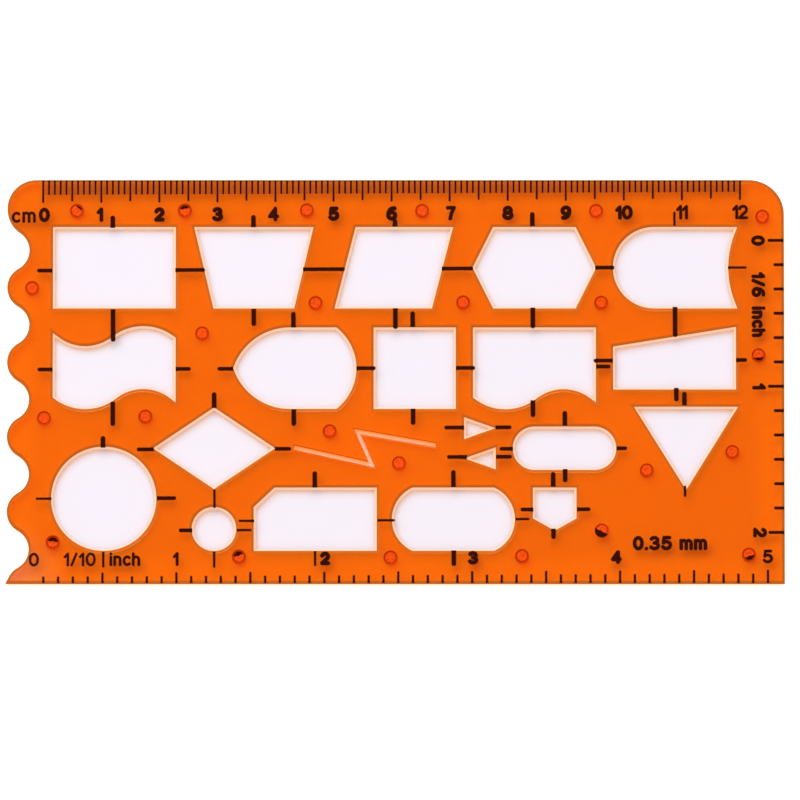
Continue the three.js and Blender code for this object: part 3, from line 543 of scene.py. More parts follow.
def cutouts(size):
    """Every cut-out, with the outlines of its guide and mouth in place, its lip and its centre marks."""
    width, height = size["symbol_width"], size["symbol_height"]
    card_height, pill_width, pill_height = size["card_height"], size["pill_width"], size["pill_height"]
    growth = size["pen_allowance"] + 2 * size["wall_draft"]
    mouth, mouth_height = width + growth, height + growth
    pitch = mouth + COLUMN_GAP
    column = [LEFT_EDGE + LEFT_MARGIN + mouth / 2 + index * pitch for index in range(5)]
    gap = [centre + pitch / 2 for centre in column]
    top_row = TOP_EDGE - TOP_MARGIN - mouth_height / 2
    second_row = top_row - mouth_height - ROW_GAP
    card_row = BOTTOM_EDGE + BOTTOM_MARGIN + (card_height + growth) / 2
    pill_row = card_row + (card_height + pill_height) / 2 + growth + LOWER_ROW_GAP
    square_x = column[3] - mouth / 2 - COLUMN_GAP - (SQUARE_SIDE + growth) / 2
    display_x = square_x - (SQUARE_SIDE + growth) / 2 - COLUMN_GAP - mouth / 2
    input_lift = (height - INPUT_RIGHT_HEIGHT) / 2
    document_lift = (height - DOCUMENT_HEIGHT) / 2
    pentagon_lift = (card_height - PENTAGON_SIDE_HEIGHT - PENTAGON_POINT_DEPTH) / 2
    made = []

    def cut(outline, x, y, shift=(0, 0), stamped=(0, 0), slot=False, fine=(), **marks):
        """Adds a cut-out, shifted from its column or gap and its row.

        stamped is how far the centre of its marks stands beside its own, marks are how far each mark
        reaches from the mouth, and fine names the thin ones.
        """
        centre = point(x + shift[0], y + shift[1])
        guide = moved(grow(outline, size["pen_allowance"] / 2), centre)
        made.append({
            "guide": guide, "mouth": grow(guide, size["slot_draft" if slot else "wall_draft"]),
            "stamped": centre + point(*stamped), "lip": size["slot_lip" if slot else "lip_width"],
            "slot": slot, "fine": fine, "marks": marks})

    cut(rectangle(width, height), column[0], top_row,
        stamped=(-0.16, -0.3), left=2.6, right=5.1, up=2.1, down=5.6)
    cut(trapezoid(TRAPEZOID_TOP_WIDTH, TRAPEZOID_BOTTOM_WIDTH, height), column[1], top_row,
        shift=(-0.1, 0), stamped=(0.06, -0.27), right=7.2, up=2.1, down=3.0)
    cut(parallelogram(PARALLELOGRAM_WIDTH, height, PARALLELOGRAM_SKEW), column[2], top_row,
        shift=(-0.1, 0), stamped=(0.33, -0.25), right=5.4, up=1.3, down=3.6)
    cut(hexagon(width, height, HEXAGON_POINT_DEPTH), column[3], top_row,
        stamped=(-0.22, -0.2), right=3.3, up=2.4, down=3.6)
    cut(stored_data(width, height, STORED_DATA_HOLLOW), column[4], top_row,
        stamped=(0.15, -0.29), right=3.2, up=2.4, down=5.2, fine=("right", "up"))
    cut(tape(width, TAPE_HEIGHT, WAVE_RISE), column[0], second_row,
        shift=(0, 0.1), stamped=(-0.24, -0.12), left=2.6, right=2.6, down=4.2)
    cut(display(width, height), display_x, second_row,
        stamped=(-0.22, -0.04), left=2.7, right=3.3, up=2.7, down=2.9)
    cut(rectangle(SQUARE_SIDE, height), square_x, second_row,
        stamped=(-0.3, -0.06), right=3.3, up=2.7, down=2.8)
    cut(document_sheet(width, DOCUMENT_HEIGHT, WAVE_RISE), column[3], second_row + document_lift,
        stamped=(-0.29, 0.08 - document_lift), right=2.5, down=2.9)
    cut(manual_input(width, INPUT_LEFT_HEIGHT, INPUT_RIGHT_HEIGHT), column[4], second_row + input_lift,
        stamped=(0.29, -0.59), left=3.3, right=1.9, down=2.3)
    cut(diamond(DIAMOND_WIDTH, DIAMOND_HEIGHT), gap[0], pill_row,
        shift=(5.15, 0), stamped=(0, -0.07), left=2.9, right=2.8, up=2.7, down=3.2, fine=("down",))
    cut(lightning_bolt(), column[2], pill_row, shift=(-5.1, 0), slot=True)
    cut(arrowhead(ARROW_LENGTH, ARROW_WIDTH, 1), gap[2], pill_row,
        shift=(2.05, 3.5), left=3.4, right=2.7)
    cut(arrowhead(ARROW_LENGTH, ARROW_WIDTH, -1), gap[2], pill_row,
        shift=(3.25, -1.75), stamped=(0, 0.14), left=3.4, right=2.7)
    cut(terminator(pill_width, pill_height, pill_height / 2), column[3], pill_row,
        shift=(5.15, 0), stamped=(0.04, -0.23), left=2.3, right=1.8, up=2.5, down=2.3)
    cut(triangle_down(MERGE_WIDTH, MERGE_HEIGHT), column[4], pill_row,
        shift=(1.95, 0.25), stamped=(-0.28, 0), up=2.3, down=1.9, fine=("down",))
    cut(circle(CONNECTOR_DIAMETER), column[0], card_row,
        shift=(-1.75, 3.55), stamped=(-0.18, 0.22), left=2.7, right=3.3, up=2.0, down=2.7,
        fine=("left", "down"))
    cut(circle(SMALL_CONNECTOR_DIAMETER), gap[0], card_row,
        shift=(5.15, -1.7), stamped=(-0.08, -0.13), left=2.3, right=2.5, down=2.8, fine=("right", "down"))
    cut(card(width, card_height, CARD_CORNER_WIDTH, CARD_CORNER_HEIGHT), gap[1], card_row,
        shift=(-1.55, 0), stamped=(-0.15, -0.23), left=2.7, right=3.0, up=2.8, down=2.6,
        fine=("left", "right", "down"))
    cut(terminator(width, card_height, TERMINATOR_END_RADIUS), gap[2], card_row,
        shift=(-1.9, 0), stamped=(-0.07, -0.12), right=2.4, up=2.9, down=2.7, fine=("right",))
    cut(pentagon(PENTAGON_WIDTH, PENTAGON_SIDE_HEIGHT, PENTAGON_POINT_DEPTH), column[3],
        card_row + pentagon_lift, shift=(3.45, 0), stamped=(-0.32, -0.27),
        left=2.2, right=2.3, up=2.5, down=1.8)
    return made


def pip_centres():
    """Where the pips stand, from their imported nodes, by node name."""
    return {node: (sum(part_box(node), Vector()) / 2 / MM).to_2d() for node in PIP_NODES}


# Meshes

class MeshMaker:
    """Collects vertices, in millimetres, and faces, and makes one object of them."""

    def __init__(self):
        self.vertices = []
        self.faces = []
        self.slots = []
        self.flat = set()

    def ring(self, outline, z):
        start = len(self.vertices)
        self.vertices += [(corner.x, corner.y, z) for corner in outline]
        return list(range(start, len(self.vertices)))

    def face(self, corners, slot=0):
        self.faces.append(corners)
        self.slots.append(slot)

    def bridge(self, first, second, slot=0):
        """Joins two rings of equal count; the face looks to the right of the first ring's way."""
        for index, here in enumerate(first):
            following = (index + 1) % len(first)
            self.face((here, first[following], second[following], second[index]), slot)

    def fill(self, outer, holes, slot, upward):
        """Fills the outer ring except for the holes."""
        rings = [outer] + holes
        corners = [corner for ring in rings for corner in ring]
        flat = [Vector(self.vertices[corner][:2]) for corner in corners]
        starts = [sum(len(ring) for ring in rings[:index]) for index in range(len(rings))]
        loops = [list(range(start, start + len(ring))) for start, ring in zip(starts, rings)]
        _, _, triangles, sources, _, owners = delaunay_2d_cdt(flat, [], loops, 0, MERGE_DISTANCE, True)
        for triangle, owner in zip(triangles, owners):
            if list(owner) == [0]:
                found = [corners[sources[corner][0]] for corner in triangle]
                self.flat.add(len(self.faces))
                self.face(tuple(found if upward else found[::-1]), slot)

    def slab(self, patch, low, high, place=None):
        """A flat patch of triangles made into a closed slab between two heights."""
        points, triangles = patch
        spots = [place @ spot.to_3d() for spot in points] if place else [spot.to_3d() for spot in points]
        top = self.ring(spots, high)
        bottom = self.ring(spots, low)
        edges = {(triangle[turn - 1], triangle[turn]) for triangle in triangles for turn in range(3)}
        for a, b, c in triangles:
            self.face((top[a], top[b], top[c]))
            self.face((bottom[c], bottom[b], bottom[a]))
        for a, b in edges:
            if (b, a) not in edges:
                self.face((top[b], top[a], bottom[a], bottom[b]))

    def make(self, name, materials, material_slot=None, smooth=True):
        mesh = bpy.data.meshes.new(name)
        mesh.from_pydata([Vector(vertex) * MM for vertex in self.vertices], [], self.faces)
        for material in materials:
            mesh.materials.append(material)
        mesh.polygons.foreach_set("material_index", self.slots)
        if smooth:
            mesh.shade_smooth()
            mesh.set_sharp_from_angle(angle=SHARP_ANGLE)
            for index in self.flat:
                mesh.polygons[index].use_smooth = False
        mesh.validate()
        made = bpy.data.objects.new(name, mesh)
        bpy.context.scene.collection.objects.link(made)
        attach(made, "root")
        return made


def union(outlines):
    """One flat patch of triangles that covers every outline, without overlaps."""
    corners = [corner for outline in outlines for corner in outline]
    loops, start = [], 0
    for outline in outlines:
        loops.append(list(range(start, start + len(outline))))
        start += len(outline)
    points, _, triangles, _, _, owners = delaunay_2d_cdt(corners, [], loops, 0, STROKE_MERGE_DISTANCE, True)
    return points, [tuple(triangle) for triangle, owner in zip(triangles, owners) if owner]


class Stamping:
    """The ink of one group of marks, with a thin half-clear brown film all round that is painted shadow of
    the ink.
    """

    def __init__(self, name, bleed):
        self.name = name
        self.bleed = bleed
        self.ink = MeshMaker()
        self.film = MeshMaker()

    def add(self, strokes, width, place=None, square_start=False):
        """Stamps strokes, each from one point to another, that may cross."""
        for maker, growth, low, high in ((self.ink, 0, INK_FACE - INK_DEPTH, INK_FACE),
                                         (self.film, self.bleed, FACE - FILM_DEPTH, FACE + FILM_PROUD)):
            outlines = [stroke(start, end, width + 2 * growth, square_start) for start, end in strokes]
            maker.slab(union(outlines), low, high, place)

    def make(self, finishes):
        self.ink.make(self.name, [existing("stamping_ink", ink_finish, finishes)], smooth=False)
        self.film.make(self.name + "_bleed", [existing("painted_ink_shadow", bleed_finish, finishes)], smooth=False)


def stroke(start, end, width, square_start=False):
    """The outline of a straight pen stroke with round ends, or with a square start."""
    along = (end - start).angle_signed(point(1, 0))
    half = width / 2
    far = arc(end.x, end.y, half, along - math.pi / 2, along + math.pi / 2)
    if square_start:
        across = polar(half, along + math.pi / 2)
        return far + [start + across, start - across]
    return far + arc(start.x, start.y, half, along + math.pi / 2, along + 1.5 * math.pi)


# Numerals and unit words: pen strokes in a box one unit high

def bow(centre_x, centre_y, radius_x, radius_y, start, end):
    """A pen stroke along part of an ellipse, with its angles in degrees."""
    steps = max(3, round(abs(end - start) / 18))
    angles = [math.radians(start + (end - start) * step / steps) for step in range(steps + 1)]
    return [point(centre_x + radius_x * math.cos(angle), centre_y + radius_y * math.sin(angle))
            for angle in angles]


def turned(strokes, width):
    return [[point(width - spot.x, 1 - spot.y) for spot in line] for line in strokes]


SMALL_LETTER = 0.72
SIX = [bow(0.33, 0.31, 0.33, 0.31, 0, 360), bow(0.5, 0.38, 0.5, 0.62, 180, 78)]
GLYPHS = {
    "0": (0.68, [bow(0.34, 0.5, 0.34, 0.5, 0, 360)]),
    "1": (0.26, [polygon((0, 0.72), (0.26, 1), (0.26, 0))]),
    "2": (0.6, [bow(0.3, 0.71, 0.3, 0.29, 165, -38) + polygon((0, 0), (0.6, 0))]),
    "3": (0.68, [bow(0.33, 0.76, 0.3, 0.24, 150, -90), bow(0.33, 0.26, 0.35, 0.26, 90, -150)]),
    "4": (0.68, [polygon((0.51, 0), (0.51, 1), (0, 0.28), (0.68, 0.28))]),
    "5": (0.7, [polygon((0.62, 1), (0.14, 1), (0.08, 0.52)) + bow(0.34, 0.32, 0.36, 0.32, 128, -150)]),
    "6": (0.66, SIX),
    "7": (0.58, [polygon((0, 1), (0.58, 1), (0.33, 0.5), (0.22, 0))]),
    "8": (0.7, [bow(0.35, 0.75, 0.29, 0.25, 0, 360), bow(0.35, 0.27, 0.35, 0.27, 0, 360)]),
    "9": (0.66, turned(SIX, 0.66)),
    "c": (0.5, [bow(0.3, 0.36, 0.3, 0.36, 50, 310)]),
    "m": (0.9, [polygon((0, 0), (0, SMALL_LETTER)),
                bow(0.225, 0.48, 0.225, 0.24, 180, 0) + polygon((0.45, 0)),
                bow(0.675, 0.48, 0.225, 0.24, 180, 0) + polygon((0.9, 0))]),
    "i": (0.0, [polygon((0, 0), (0, SMALL_LETTER)), polygon((0, 0.99), (0, 1))]),
    "n": (0.5, [polygon((0, 0), (0, SMALL_LETTER)), bow(0.25, 0.46, 0.25, 0.26, 180, 0) + polygon((0.5, 0))]),
    "h": (0.5, [polygon((0, 0), (0, 1)), bow(0.25, 0.46, 0.25, 0.26, 180, 0) + polygon((0.5, 0))]),
    "/": (0.42, [polygon((0, 0), (0.42, 1))]),
    ".": (0.0, [polygon((0, 0), (0, 0.01))]),
    " ": (0.2, []),
}


def write(stamping, words, centre, height, pen, spacing=0.22, turn=0.0):
    """Writes a word round its centre; turn is its own turn, in degrees."""
    reach = height - pen
    widths = [GLYPHS[character][0] * reach for character in words]
    advance = pen + spacing
    total = sum(widths) + advance * (len(words) - 1)
    place = Matrix.Translation(centre.to_3d()) @ Matrix.Rotation(math.radians(turn), 4, "Z")
    x = -total / 2
    for character, width in zip(words, widths):
        strokes = [(start * reach, end * reach)
                   for line in GLYPHS[character][1] for start, end in zip(line, line[1:])]
        if strokes:
            stamping.add(strokes, pen, place @ Matrix.Translation((x, -reach / 2, 0)))
        x += width + advance


# Finishes

def add_node(tree, kind, inputs=None, **settings):
    """A node whose inputs, by name or number, hold values or are linked to sockets."""
    node = tree.nodes.new(kind)
    for name, value in settings.items():
        setattr(node, name, value)
    for socket, source in (inputs or {}).items():
        if isinstance(source, bpy.types.NodeSocket):
            tree.links.new(source, node.inputs[socket])
        else:
            node.inputs[socket].default_value = source
    return node


def maths(tree, operation, *inputs):
    return add_node(tree, "ShaderNodeMath", dict(enumerate(inputs)), operation=operation).outputs[0]


def rising(tree, value, none, full):
    """A mask that is 0 where a value is none, 1 where it is full, and grows evenly between them."""
    return add_node(tree, "ShaderNodeMapRange", {
        "Value": value, "From Min": none, "From Max": full}).outputs[0]


def mixed_colour(tree, mask, first, second):
    """The first colour where a mask is 0 and the second where it is 1."""
    return add_node(tree, "ShaderNodeMix", {
        "Factor": mask, "A": first, "B": second}, data_type="RGBA").outputs["Result"]


def object_spots(tree):
    return add_node(tree, "ShaderNodeTexCoord").outputs["Object"]


def new_group(name, inputs, outputs):
    group = bpy.data.node_groups.new(name, "ShaderNodeTree")
    for socket, kind, default in inputs:
        made = group.interface.new_socket(socket, in_out="INPUT", socket_type=kind)
        made.default_value = default
    for socket, kind in outputs:
        group.interface.new_socket(socket, in_out="OUTPUT", socket_type=kind)
    return group, group.nodes.new("NodeGroupInput"), group.nodes.new("NodeGroupOutput")


FLOAT, COLOR = "NodeSocketFloat", "NodeSocketColor"


def colour_drift_group():
    """Slow and fine unevenness of a colour, as dye in moulded plastic or ink on it has."""
    group, given, result = new_group(
        "colour_drift",
        [("Color", COLOR, WHITE), ("Slow Drift", FLOAT, 0.03), ("Grain", FLOAT, 0.02)],
        [("Color", COLOR)])
    spots = object_spots(group)

    def swing(scale, amount):
        """Noise that swings evenly to both sides of 0."""
        noise = add_node(group, "ShaderNodeTexNoise", {"Vector": spots, "Scale": scale, "Detail": 2.0})
        return maths(group, "MULTIPLY", maths(group, "SUBTRACT", noise.outputs["Fac"], 0.5), amount)

    slow = swing(35.0, given.outputs["Slow Drift"])
    both = maths(group, "ADD", slow, swing(2600.0, given.outputs["Grain"]))
    shifted = add_node(group, "ShaderNodeHueSaturation", {
        "Color": given.outputs["Color"], "Value": maths(group, "ADD", both, 1.0)})
    group.links.new(shifted.outputs["Color"], result.inputs["Color"])
    return group


def handling_wear_group():
    """Moulding ripple and fine scratches: a roughness and a height for a bump."""
    group, given, result = new_group(
        "handling_wear",
        [("Roughness", FLOAT, 0.1), ("Scratches", FLOAT, 0.2), ("Ripple", FLOAT, 0.5)],
        [("Roughness", FLOAT), ("Height", FLOAT)])
    spots = object_spots(group)
    ripple = add_node(group, "ShaderNodeTexNoise", {"Vector": spots, "Scale": 90.0, "Detail": 3.0})

    def scratch_mask(turn, scale):
        """Thin streaks, turned by an angle in degrees."""
        lengthwise = add_node(group, "ShaderNodeMapping", {
            "Vector": spots, "Rotation": (0.0, 0.0, math.radians(turn)), "Scale": (60.0, 3000.0, 60.0)})
        noise = add_node(group, "ShaderNodeTexNoise", {
            "Vector": lengthwise.outputs[0], "Scale": scale, "Detail": 1.0})
        return rising(group, noise.outputs["Fac"], 0.66, 0.74)

    masks = maths(group, "MAXIMUM", scratch_mask(24, 1.0), scratch_mask(-38, 1.4))
    scratches = maths(group, "MULTIPLY", masks, given.outputs["Scratches"])
    rough = maths(group, "ADD", scratches, given.outputs["Roughness"])
    waves = maths(group, "MULTIPLY", ripple.outputs["Fac"], given.outputs["Ripple"])
    group.links.new(rough, result.inputs["Roughness"])
    group.links.new(maths(group, "SUBTRACT", waves, scratches), result.inputs["Height"])
    return group


def group_named(name, maker):
    return bpy.data.node_groups.get(name) or maker()


def finish(name, base, slow_drift, grain, roughness, scratches, ripple, bump, specular,
           shell=None, entering=None, **constants):
    """A moulded or inked finish. base is a colour or a function that makes a colour socket.

    bump is the height of the wear, in millimetres. shell, where given, is the tint that light for
    what lies below passes with, and entering is the tint of light that goes into the plastic there,
    where that differs.
    """
    material = bpy.data.materials.new(name)
    material.use_nodes = True
    tree = material.node_tree
    tree.nodes.clear()
    tint = add_node(tree, "ShaderNodeGroup", {
        "Color": base(tree) if callable(base) else base, "Slow Drift": slow_drift, "Grain": grain},
        node_tree=group_named("colour_drift", colour_drift_group))
    worn = add_node(tree, "ShaderNodeGroup", {
        "Roughness": roughness, "Scratches": scratches, "Ripple": ripple},
        node_tree=group_named("handling_wear", handling_wear_group))
    uneven = add_node(tree, "ShaderNodeBump", {
        "Height": worn.outputs["Height"], "Strength": 0.6, "Distance": bump * MM})
    shown = add_node(tree, "ShaderNodeBsdfPrincipled", {
        "Base Color": tint.outputs["Color"], "Roughness": worn.outputs["Roughness"],
        "Normal": uneven.outputs["Normal"], "Specular IOR Level": specular, **constants}).outputs["BSDF"]
    if shell:
        # The cut walls' faces look into the plastic, so a shadow ray meets their backs where light comes out
        if entering:
            leaves = add_node(tree, "ShaderNodeNewGeometry").outputs["Backfacing"]
            shell = mixed_colour(tree, leaves, entering, shell)
        passing = add_node(tree, "ShaderNodeBsdfTransparent", {"Color": shell})
        path = add_node(tree, "ShaderNodeLightPath")
        shown = add_node(tree, "ShaderNodeMixShader", {
            0: path.outputs["Is Shadow Ray"], 1: shown, 2: passing.outputs[0]}).outputs[0]
    add_node(tree, "ShaderNodeOutputMaterial", {"Surface": shown})
    return material


def graded(low_colour, high_colour, low, high):
    """A colour that changes from one level above the paper to another, both in millimetres."""
    def ramp(tree):
        height = add_node(tree, "ShaderNodeSeparateXYZ", {0: object_spots(tree)}).outputs["Z"]
        return mixed_colour(tree, rising(tree, height, low * MM, high * MM), low_colour, high_colour)
    return ramp


def sheet_finish(finishes):
    def worn_corner(tree):
        """The sheet's tint, paler towards the worn lower left corner."""
        away = add_node(tree, "ShaderNodeVectorMath", {
            0: object_spots(tree), 1: (LEFT_EDGE * MM, BOTTOM_EDGE * MM, FACE * MM)}, operation="DISTANCE")
        near = add_node(tree, "ShaderNodeMapRange", {
            "Value": away.outputs["Value"], "From Min": 0.0, "From Max": HAZE_REACH * MM,
            "To Min": 1.0, "To Max": 0.0}, interpolation_type="SMOOTHSTEP")
        return mixed_colour(tree, near.outputs[0], finishes.sheet, finishes.haze)

    return finish(
        "clear_orange_sheet", worn_corner, slow_drift=0.05, grain=0.05,
        roughness=0.06, scratches=0.08, ripple=0.6, bump=0.01, specular=0.35, shell=finishes.sheet_shade,
        **{"Transmission Weight": finishes.clarity, "IOR": SHEET_IOR,
           "Emission Color": finishes.sheet_glow, "Emission Strength": finishes.glow_strength})


def cut_finish(finishes, name, base, entering, specular, glow=None):
    """The finish of an upright cut surface, which may give off the sheet's light."""
    light = {"Emission Color": glow, "Emission Strength": finishes.wall_glow_strength} if glow else {}
    return finish(
        name, base, slow_drift=0.06, grain=0.06, roughness=0.3, scratches=0.1, ripple=0.3, bump=0.01,
        specular=specular, shell=finishes.wall_shade, entering=entering, **light)


def wall_finish(finishes):
    # The wall's height grading is painted shade: greyer at the foot, deeper orange at the mouth
    base = graded(finishes.wall_low, finishes.wall_high, UNDERSIDE, FACE)
    return cut_finish(finishes, "cut_wall", base, finishes.wall_entry, 0.3, finishes.wall_glow)


def slot_finish(finishes):
    return cut_finish(finishes, "slot_wall", finishes.slot, finishes.slot_entry, 0.1, finishes.slot_glow)


def land_finish(finishes):
    return cut_finish(finishes, "guide_land", finishes.land, finishes.land_entry, 0.3)


def lip_finish(finishes):
    # Painted shade: the lips are a darker orange than the clear sheet
    return finish(
        "softened_lip", finishes.lip, slow_drift=0.15, grain=0.1,
        roughness=0.35, scratches=0.2, ripple=0.5, bump=0.02, specular=0.12, shell=finishes.sheet_shade)


def seat_finish(finishes):
    # Painted shade: the seat is a darker red, for the dark ring round each pip
    return finish(
        "pip_seat", finishes.seat, slow_drift=0.3, grain=0.2,
        roughness=0.4, scratches=0.2, ripple=0.5, bump=0.02, specular=0.1, shell=finishes.sheet_shade)


def edge_finish(finishes):
    # Painted shade: the outer edge is a darker orange, for the shaded band along it
    return finish(
        "outer_edge", finishes.edge, slow_drift=0.08, grain=0.05,
        roughness=0.45, scratches=0.2, ripple=0.5, bump=0.02, specular=0.08, shell=finishes.edge_shade)


def pip_finish(finishes):
    # The foot is darkened as painted shade of the sheet above it
    return finish(
        "moulded_red", graded(finishes.pip_rim, finishes.pip, UNDERSIDE, UNDERSIDE + PIP_SHADE_FADE),
        slow_drift=0.2, grain=1.4,
        roughness=0.4, scratches=0.2, ripple=0.6, bump=0.02, specular=0.06, shell=finishes.pip_shade)


def ink_finish(finishes):
    return finish(
        "stamping_ink", finishes.ink, slow_drift=0.5, grain=0.6,
        roughness=0.6, scratches=0.3, ripple=0.8, bump=0.01, specular=0.03)


# Painted shadow of the ink: a thin half-clear brown film round each mark
def bleed_finish(finishes):
    return finish(
        "painted_ink_shadow", finishes.bleed, slow_drift=0.3, grain=0.3,
        roughness=0.4, scratches=0.2, ripple=0.5, bump=0.01, specular=0.1, Alpha=finishes.bleed_cover)


def paper_finish(finishes, size):
    """White paper, slightly lavender where the stencil lies on it, with a painted glow beside the sheet that
    washes out its shadow.
    """
    material = bpy.data.materials.new("pale_paper")
    material.use_nodes = True
    tree = material.node_tree
    spot = add_node(tree, "ShaderNodeSeparateXYZ", {0: object_spots(tree)})
    across, up = spot.outputs["X"], spot.outputs["Y"]

    def mask(value, none, full):
        """A mask that is 0 at one length and 1 at another, both in millimetres."""
        return rising(tree, value, none * MM, full * MM)

    def combined(operation, *masks):
        result = masks[0]
        for following in masks[1:]:
            result = maths(tree, operation, result, following)
        return result

    def inside_box(margin, fade):
        right, top = RIGHT_EDGE - margin, TOP_EDGE - margin
        return combined(
            "MINIMUM", mask(maths(tree, "ABSOLUTE", across), right + fade, right),
            mask(maths(tree, "ABSOLUTE", up), top + fade, top))

    def away_from(x, y, pitch=None):
        """Distance from one point, or from the nearest of a row of points down the finger edge."""
        height = up
        if pitch:
            height = maths(tree, "WRAP", up, (y + pitch / 2) * MM, (y - pitch / 2) * MM)
        here = add_node(tree, "ShaderNodeCombineXYZ", {0: across, 1: height})
        return add_node(tree, "ShaderNodeVectorMath", {
            0: here.outputs[0], 1: (x * MM, y * MM, 0.0)}, operation="DISTANCE").outputs["Value"]

    def under_sheet():
        """The sheet's shadow side: its box without the hollows, the crests' corners and the round corners."""
        fade, pitch = GLOW_FADE, size["scallop_pitch"]
        hollow_x, hollow_y, radius = first_hollow(size)
        crest_x, crest_y = LEFT_EDGE + radius, hollow_y - pitch / 2
        left, right = size["corner_left"], size["corner_right"]
        finger_top, corner_bottom = TOP_EDGE - left, TOP_EDGE - right
        turn = LEFT_EDGE + size["scallop_depth"] / 2
        beyond_hollows = combined(
            "MAXIMUM", mask(away_from(hollow_x, hollow_y, pitch), radius, radius + fade),
            mask(up, finger_top - fade, finger_top))
        finger_side = combined(
            "MAXIMUM", mask(away_from(crest_x, crest_y, pitch), radius, radius - fade),
            mask(away_from(LEFT_EDGE + left, finger_top), left, left - fade),
            combined("MINIMUM", mask(across, turn - fade, turn), mask(up, finger_top + fade, finger_top)),
            mask(across, LEFT_EDGE + left - fade, LEFT_EDGE + left))
        right_side = combined(
            "MAXIMUM", mask(away_from(RIGHT_EDGE - right, corner_bottom), right, right - fade),
            mask(across, RIGHT_EDGE - right + fade, RIGHT_EDGE - right),
            mask(up, corner_bottom + fade, corner_bottom))
        return combined("MINIMUM", inside_box(fade, fade), beyond_hollows, finger_side, right_side)

    def by_place(socket, under_mask, under, beyond):
        tree.links.new(mixed_colour(tree, under_mask, beyond, under), surface.inputs[socket])

    surface = tree.nodes["Principled BSDF"]
    by_place("Base Color", inside_box(2 * PAPER_FADE, PAPER_FADE), finishes.paper, finishes.floor)
    # Painted glow on the floor everywhere but under the sheet, to wash out its shadow
    by_place("Emission Color", under_sheet(), BLACK, (finishes.floor_glow,) * 3 + (1,))
    surface.inputs["Emission Strength"].default_value = 1.0
    surface.inputs["Roughness"].default_value = 0.9
    surface.inputs["Specular IOR Level"].default_value = 0.1
    return material


def existing(name, maker, finishes):
    return bpy.data.materials.get(name) or maker(finishes)


# Operators

class StencilSheet(bpy.types.Operator):
    """Builds the clear sheet with its finger edge, drafted cut-outs and pip holes"""
    bl_idname = "stencil.sheet"
    bl_label = "Sheet"

    def execute(self, context):
        scene = context.scene
        size = in_millimetres(scene.stencil_sheet)
        pip = in_millimetres(scene.stencil_pips)
        maker = MeshMaker()
        face_slot, wall_slot, land_slot, bolt_slot, lip_slot, seat_slot, edge_slot = range(7)

        def stack(rings, slots):
            """Joins rings from the top down and gives the topmost and the lowest."""
            made = [maker.ring(outline, z) for outline, z in rings]
            for first, second, slot in zip(made, made[1:], slots):
                maker.bridge(second, first, slot)
            return made[0], made[-1]

        def softened(outline, width, drop, profile=SOFT_PROFILE):
            """Rings from the flat face down to the wall; a negative width lies inside the outline."""
            return [(grow(outline, across * width), FACE - down * drop) for across, down in profile]

        outline = sheet_outline(size)
        foot = size["foot_round"]
        outer_top, outer_bottom = stack([
            *softened(outline, -size["edge_width"], size["edge_drop"]),
            (outline, UNDERSIDE + foot),
            (grow(outline, -foot), UNDERSIDE),
        ], [face_slot] + [edge_slot] * 5)
        holes = []
        for cutout in cutouts(size):
            walls = [bolt_slot] * 3 if cutout["slot"] else [wall_slot] + [land_slot] * 2
            holes.append(stack([
                *softened(cutout["mouth"], cutout["lip"], size["lip_drop"]),
                (grow(cutout["guide"], size["land_draft"]), UNDERSIDE + size["guide_land"]),
                (cutout["guide"], UNDERSIDE + foot),
                (grow(cutout["guide"], foot), UNDERSIDE),
            ], [face_slot] + [lip_slot] * 3 + walls))
        for centre in pip_centres().values():
            hole = moved(circle(pip["shank"] + 2 * pip["clearance"]), centre)
            holes.append(stack([
                *softened(hole, pip["seat"], pip["seat_drop"], SEAT_PROFILE),
                (hole, UNDERSIDE),
            ], [seat_slot, seat_slot, face_slot]))
        tops, bottoms = zip(*holes)
        maker.fill(outer_top, list(tops), face_slot, upward=True)
        maker.fill(outer_bottom, list(bottoms), face_slot, upward=False)
        finishes = scene.stencil_finish
        sheet = maker.make("template_sheet", [
            existing("clear_orange_sheet", sheet_finish, finishes),
            existing("cut_wall", wall_finish, finishes),
            existing("guide_land", land_finish, finishes),
            existing("slot_wall", slot_finish, finishes),
            existing("softened_lip", lip_finish, finishes),
            existing("pip_seat", seat_finish, finishes),
            existing("outer_edge", edge_finish, finishes)], "fluorescent_sheet")
        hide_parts("template_plate")
        return {"FINISHED"}


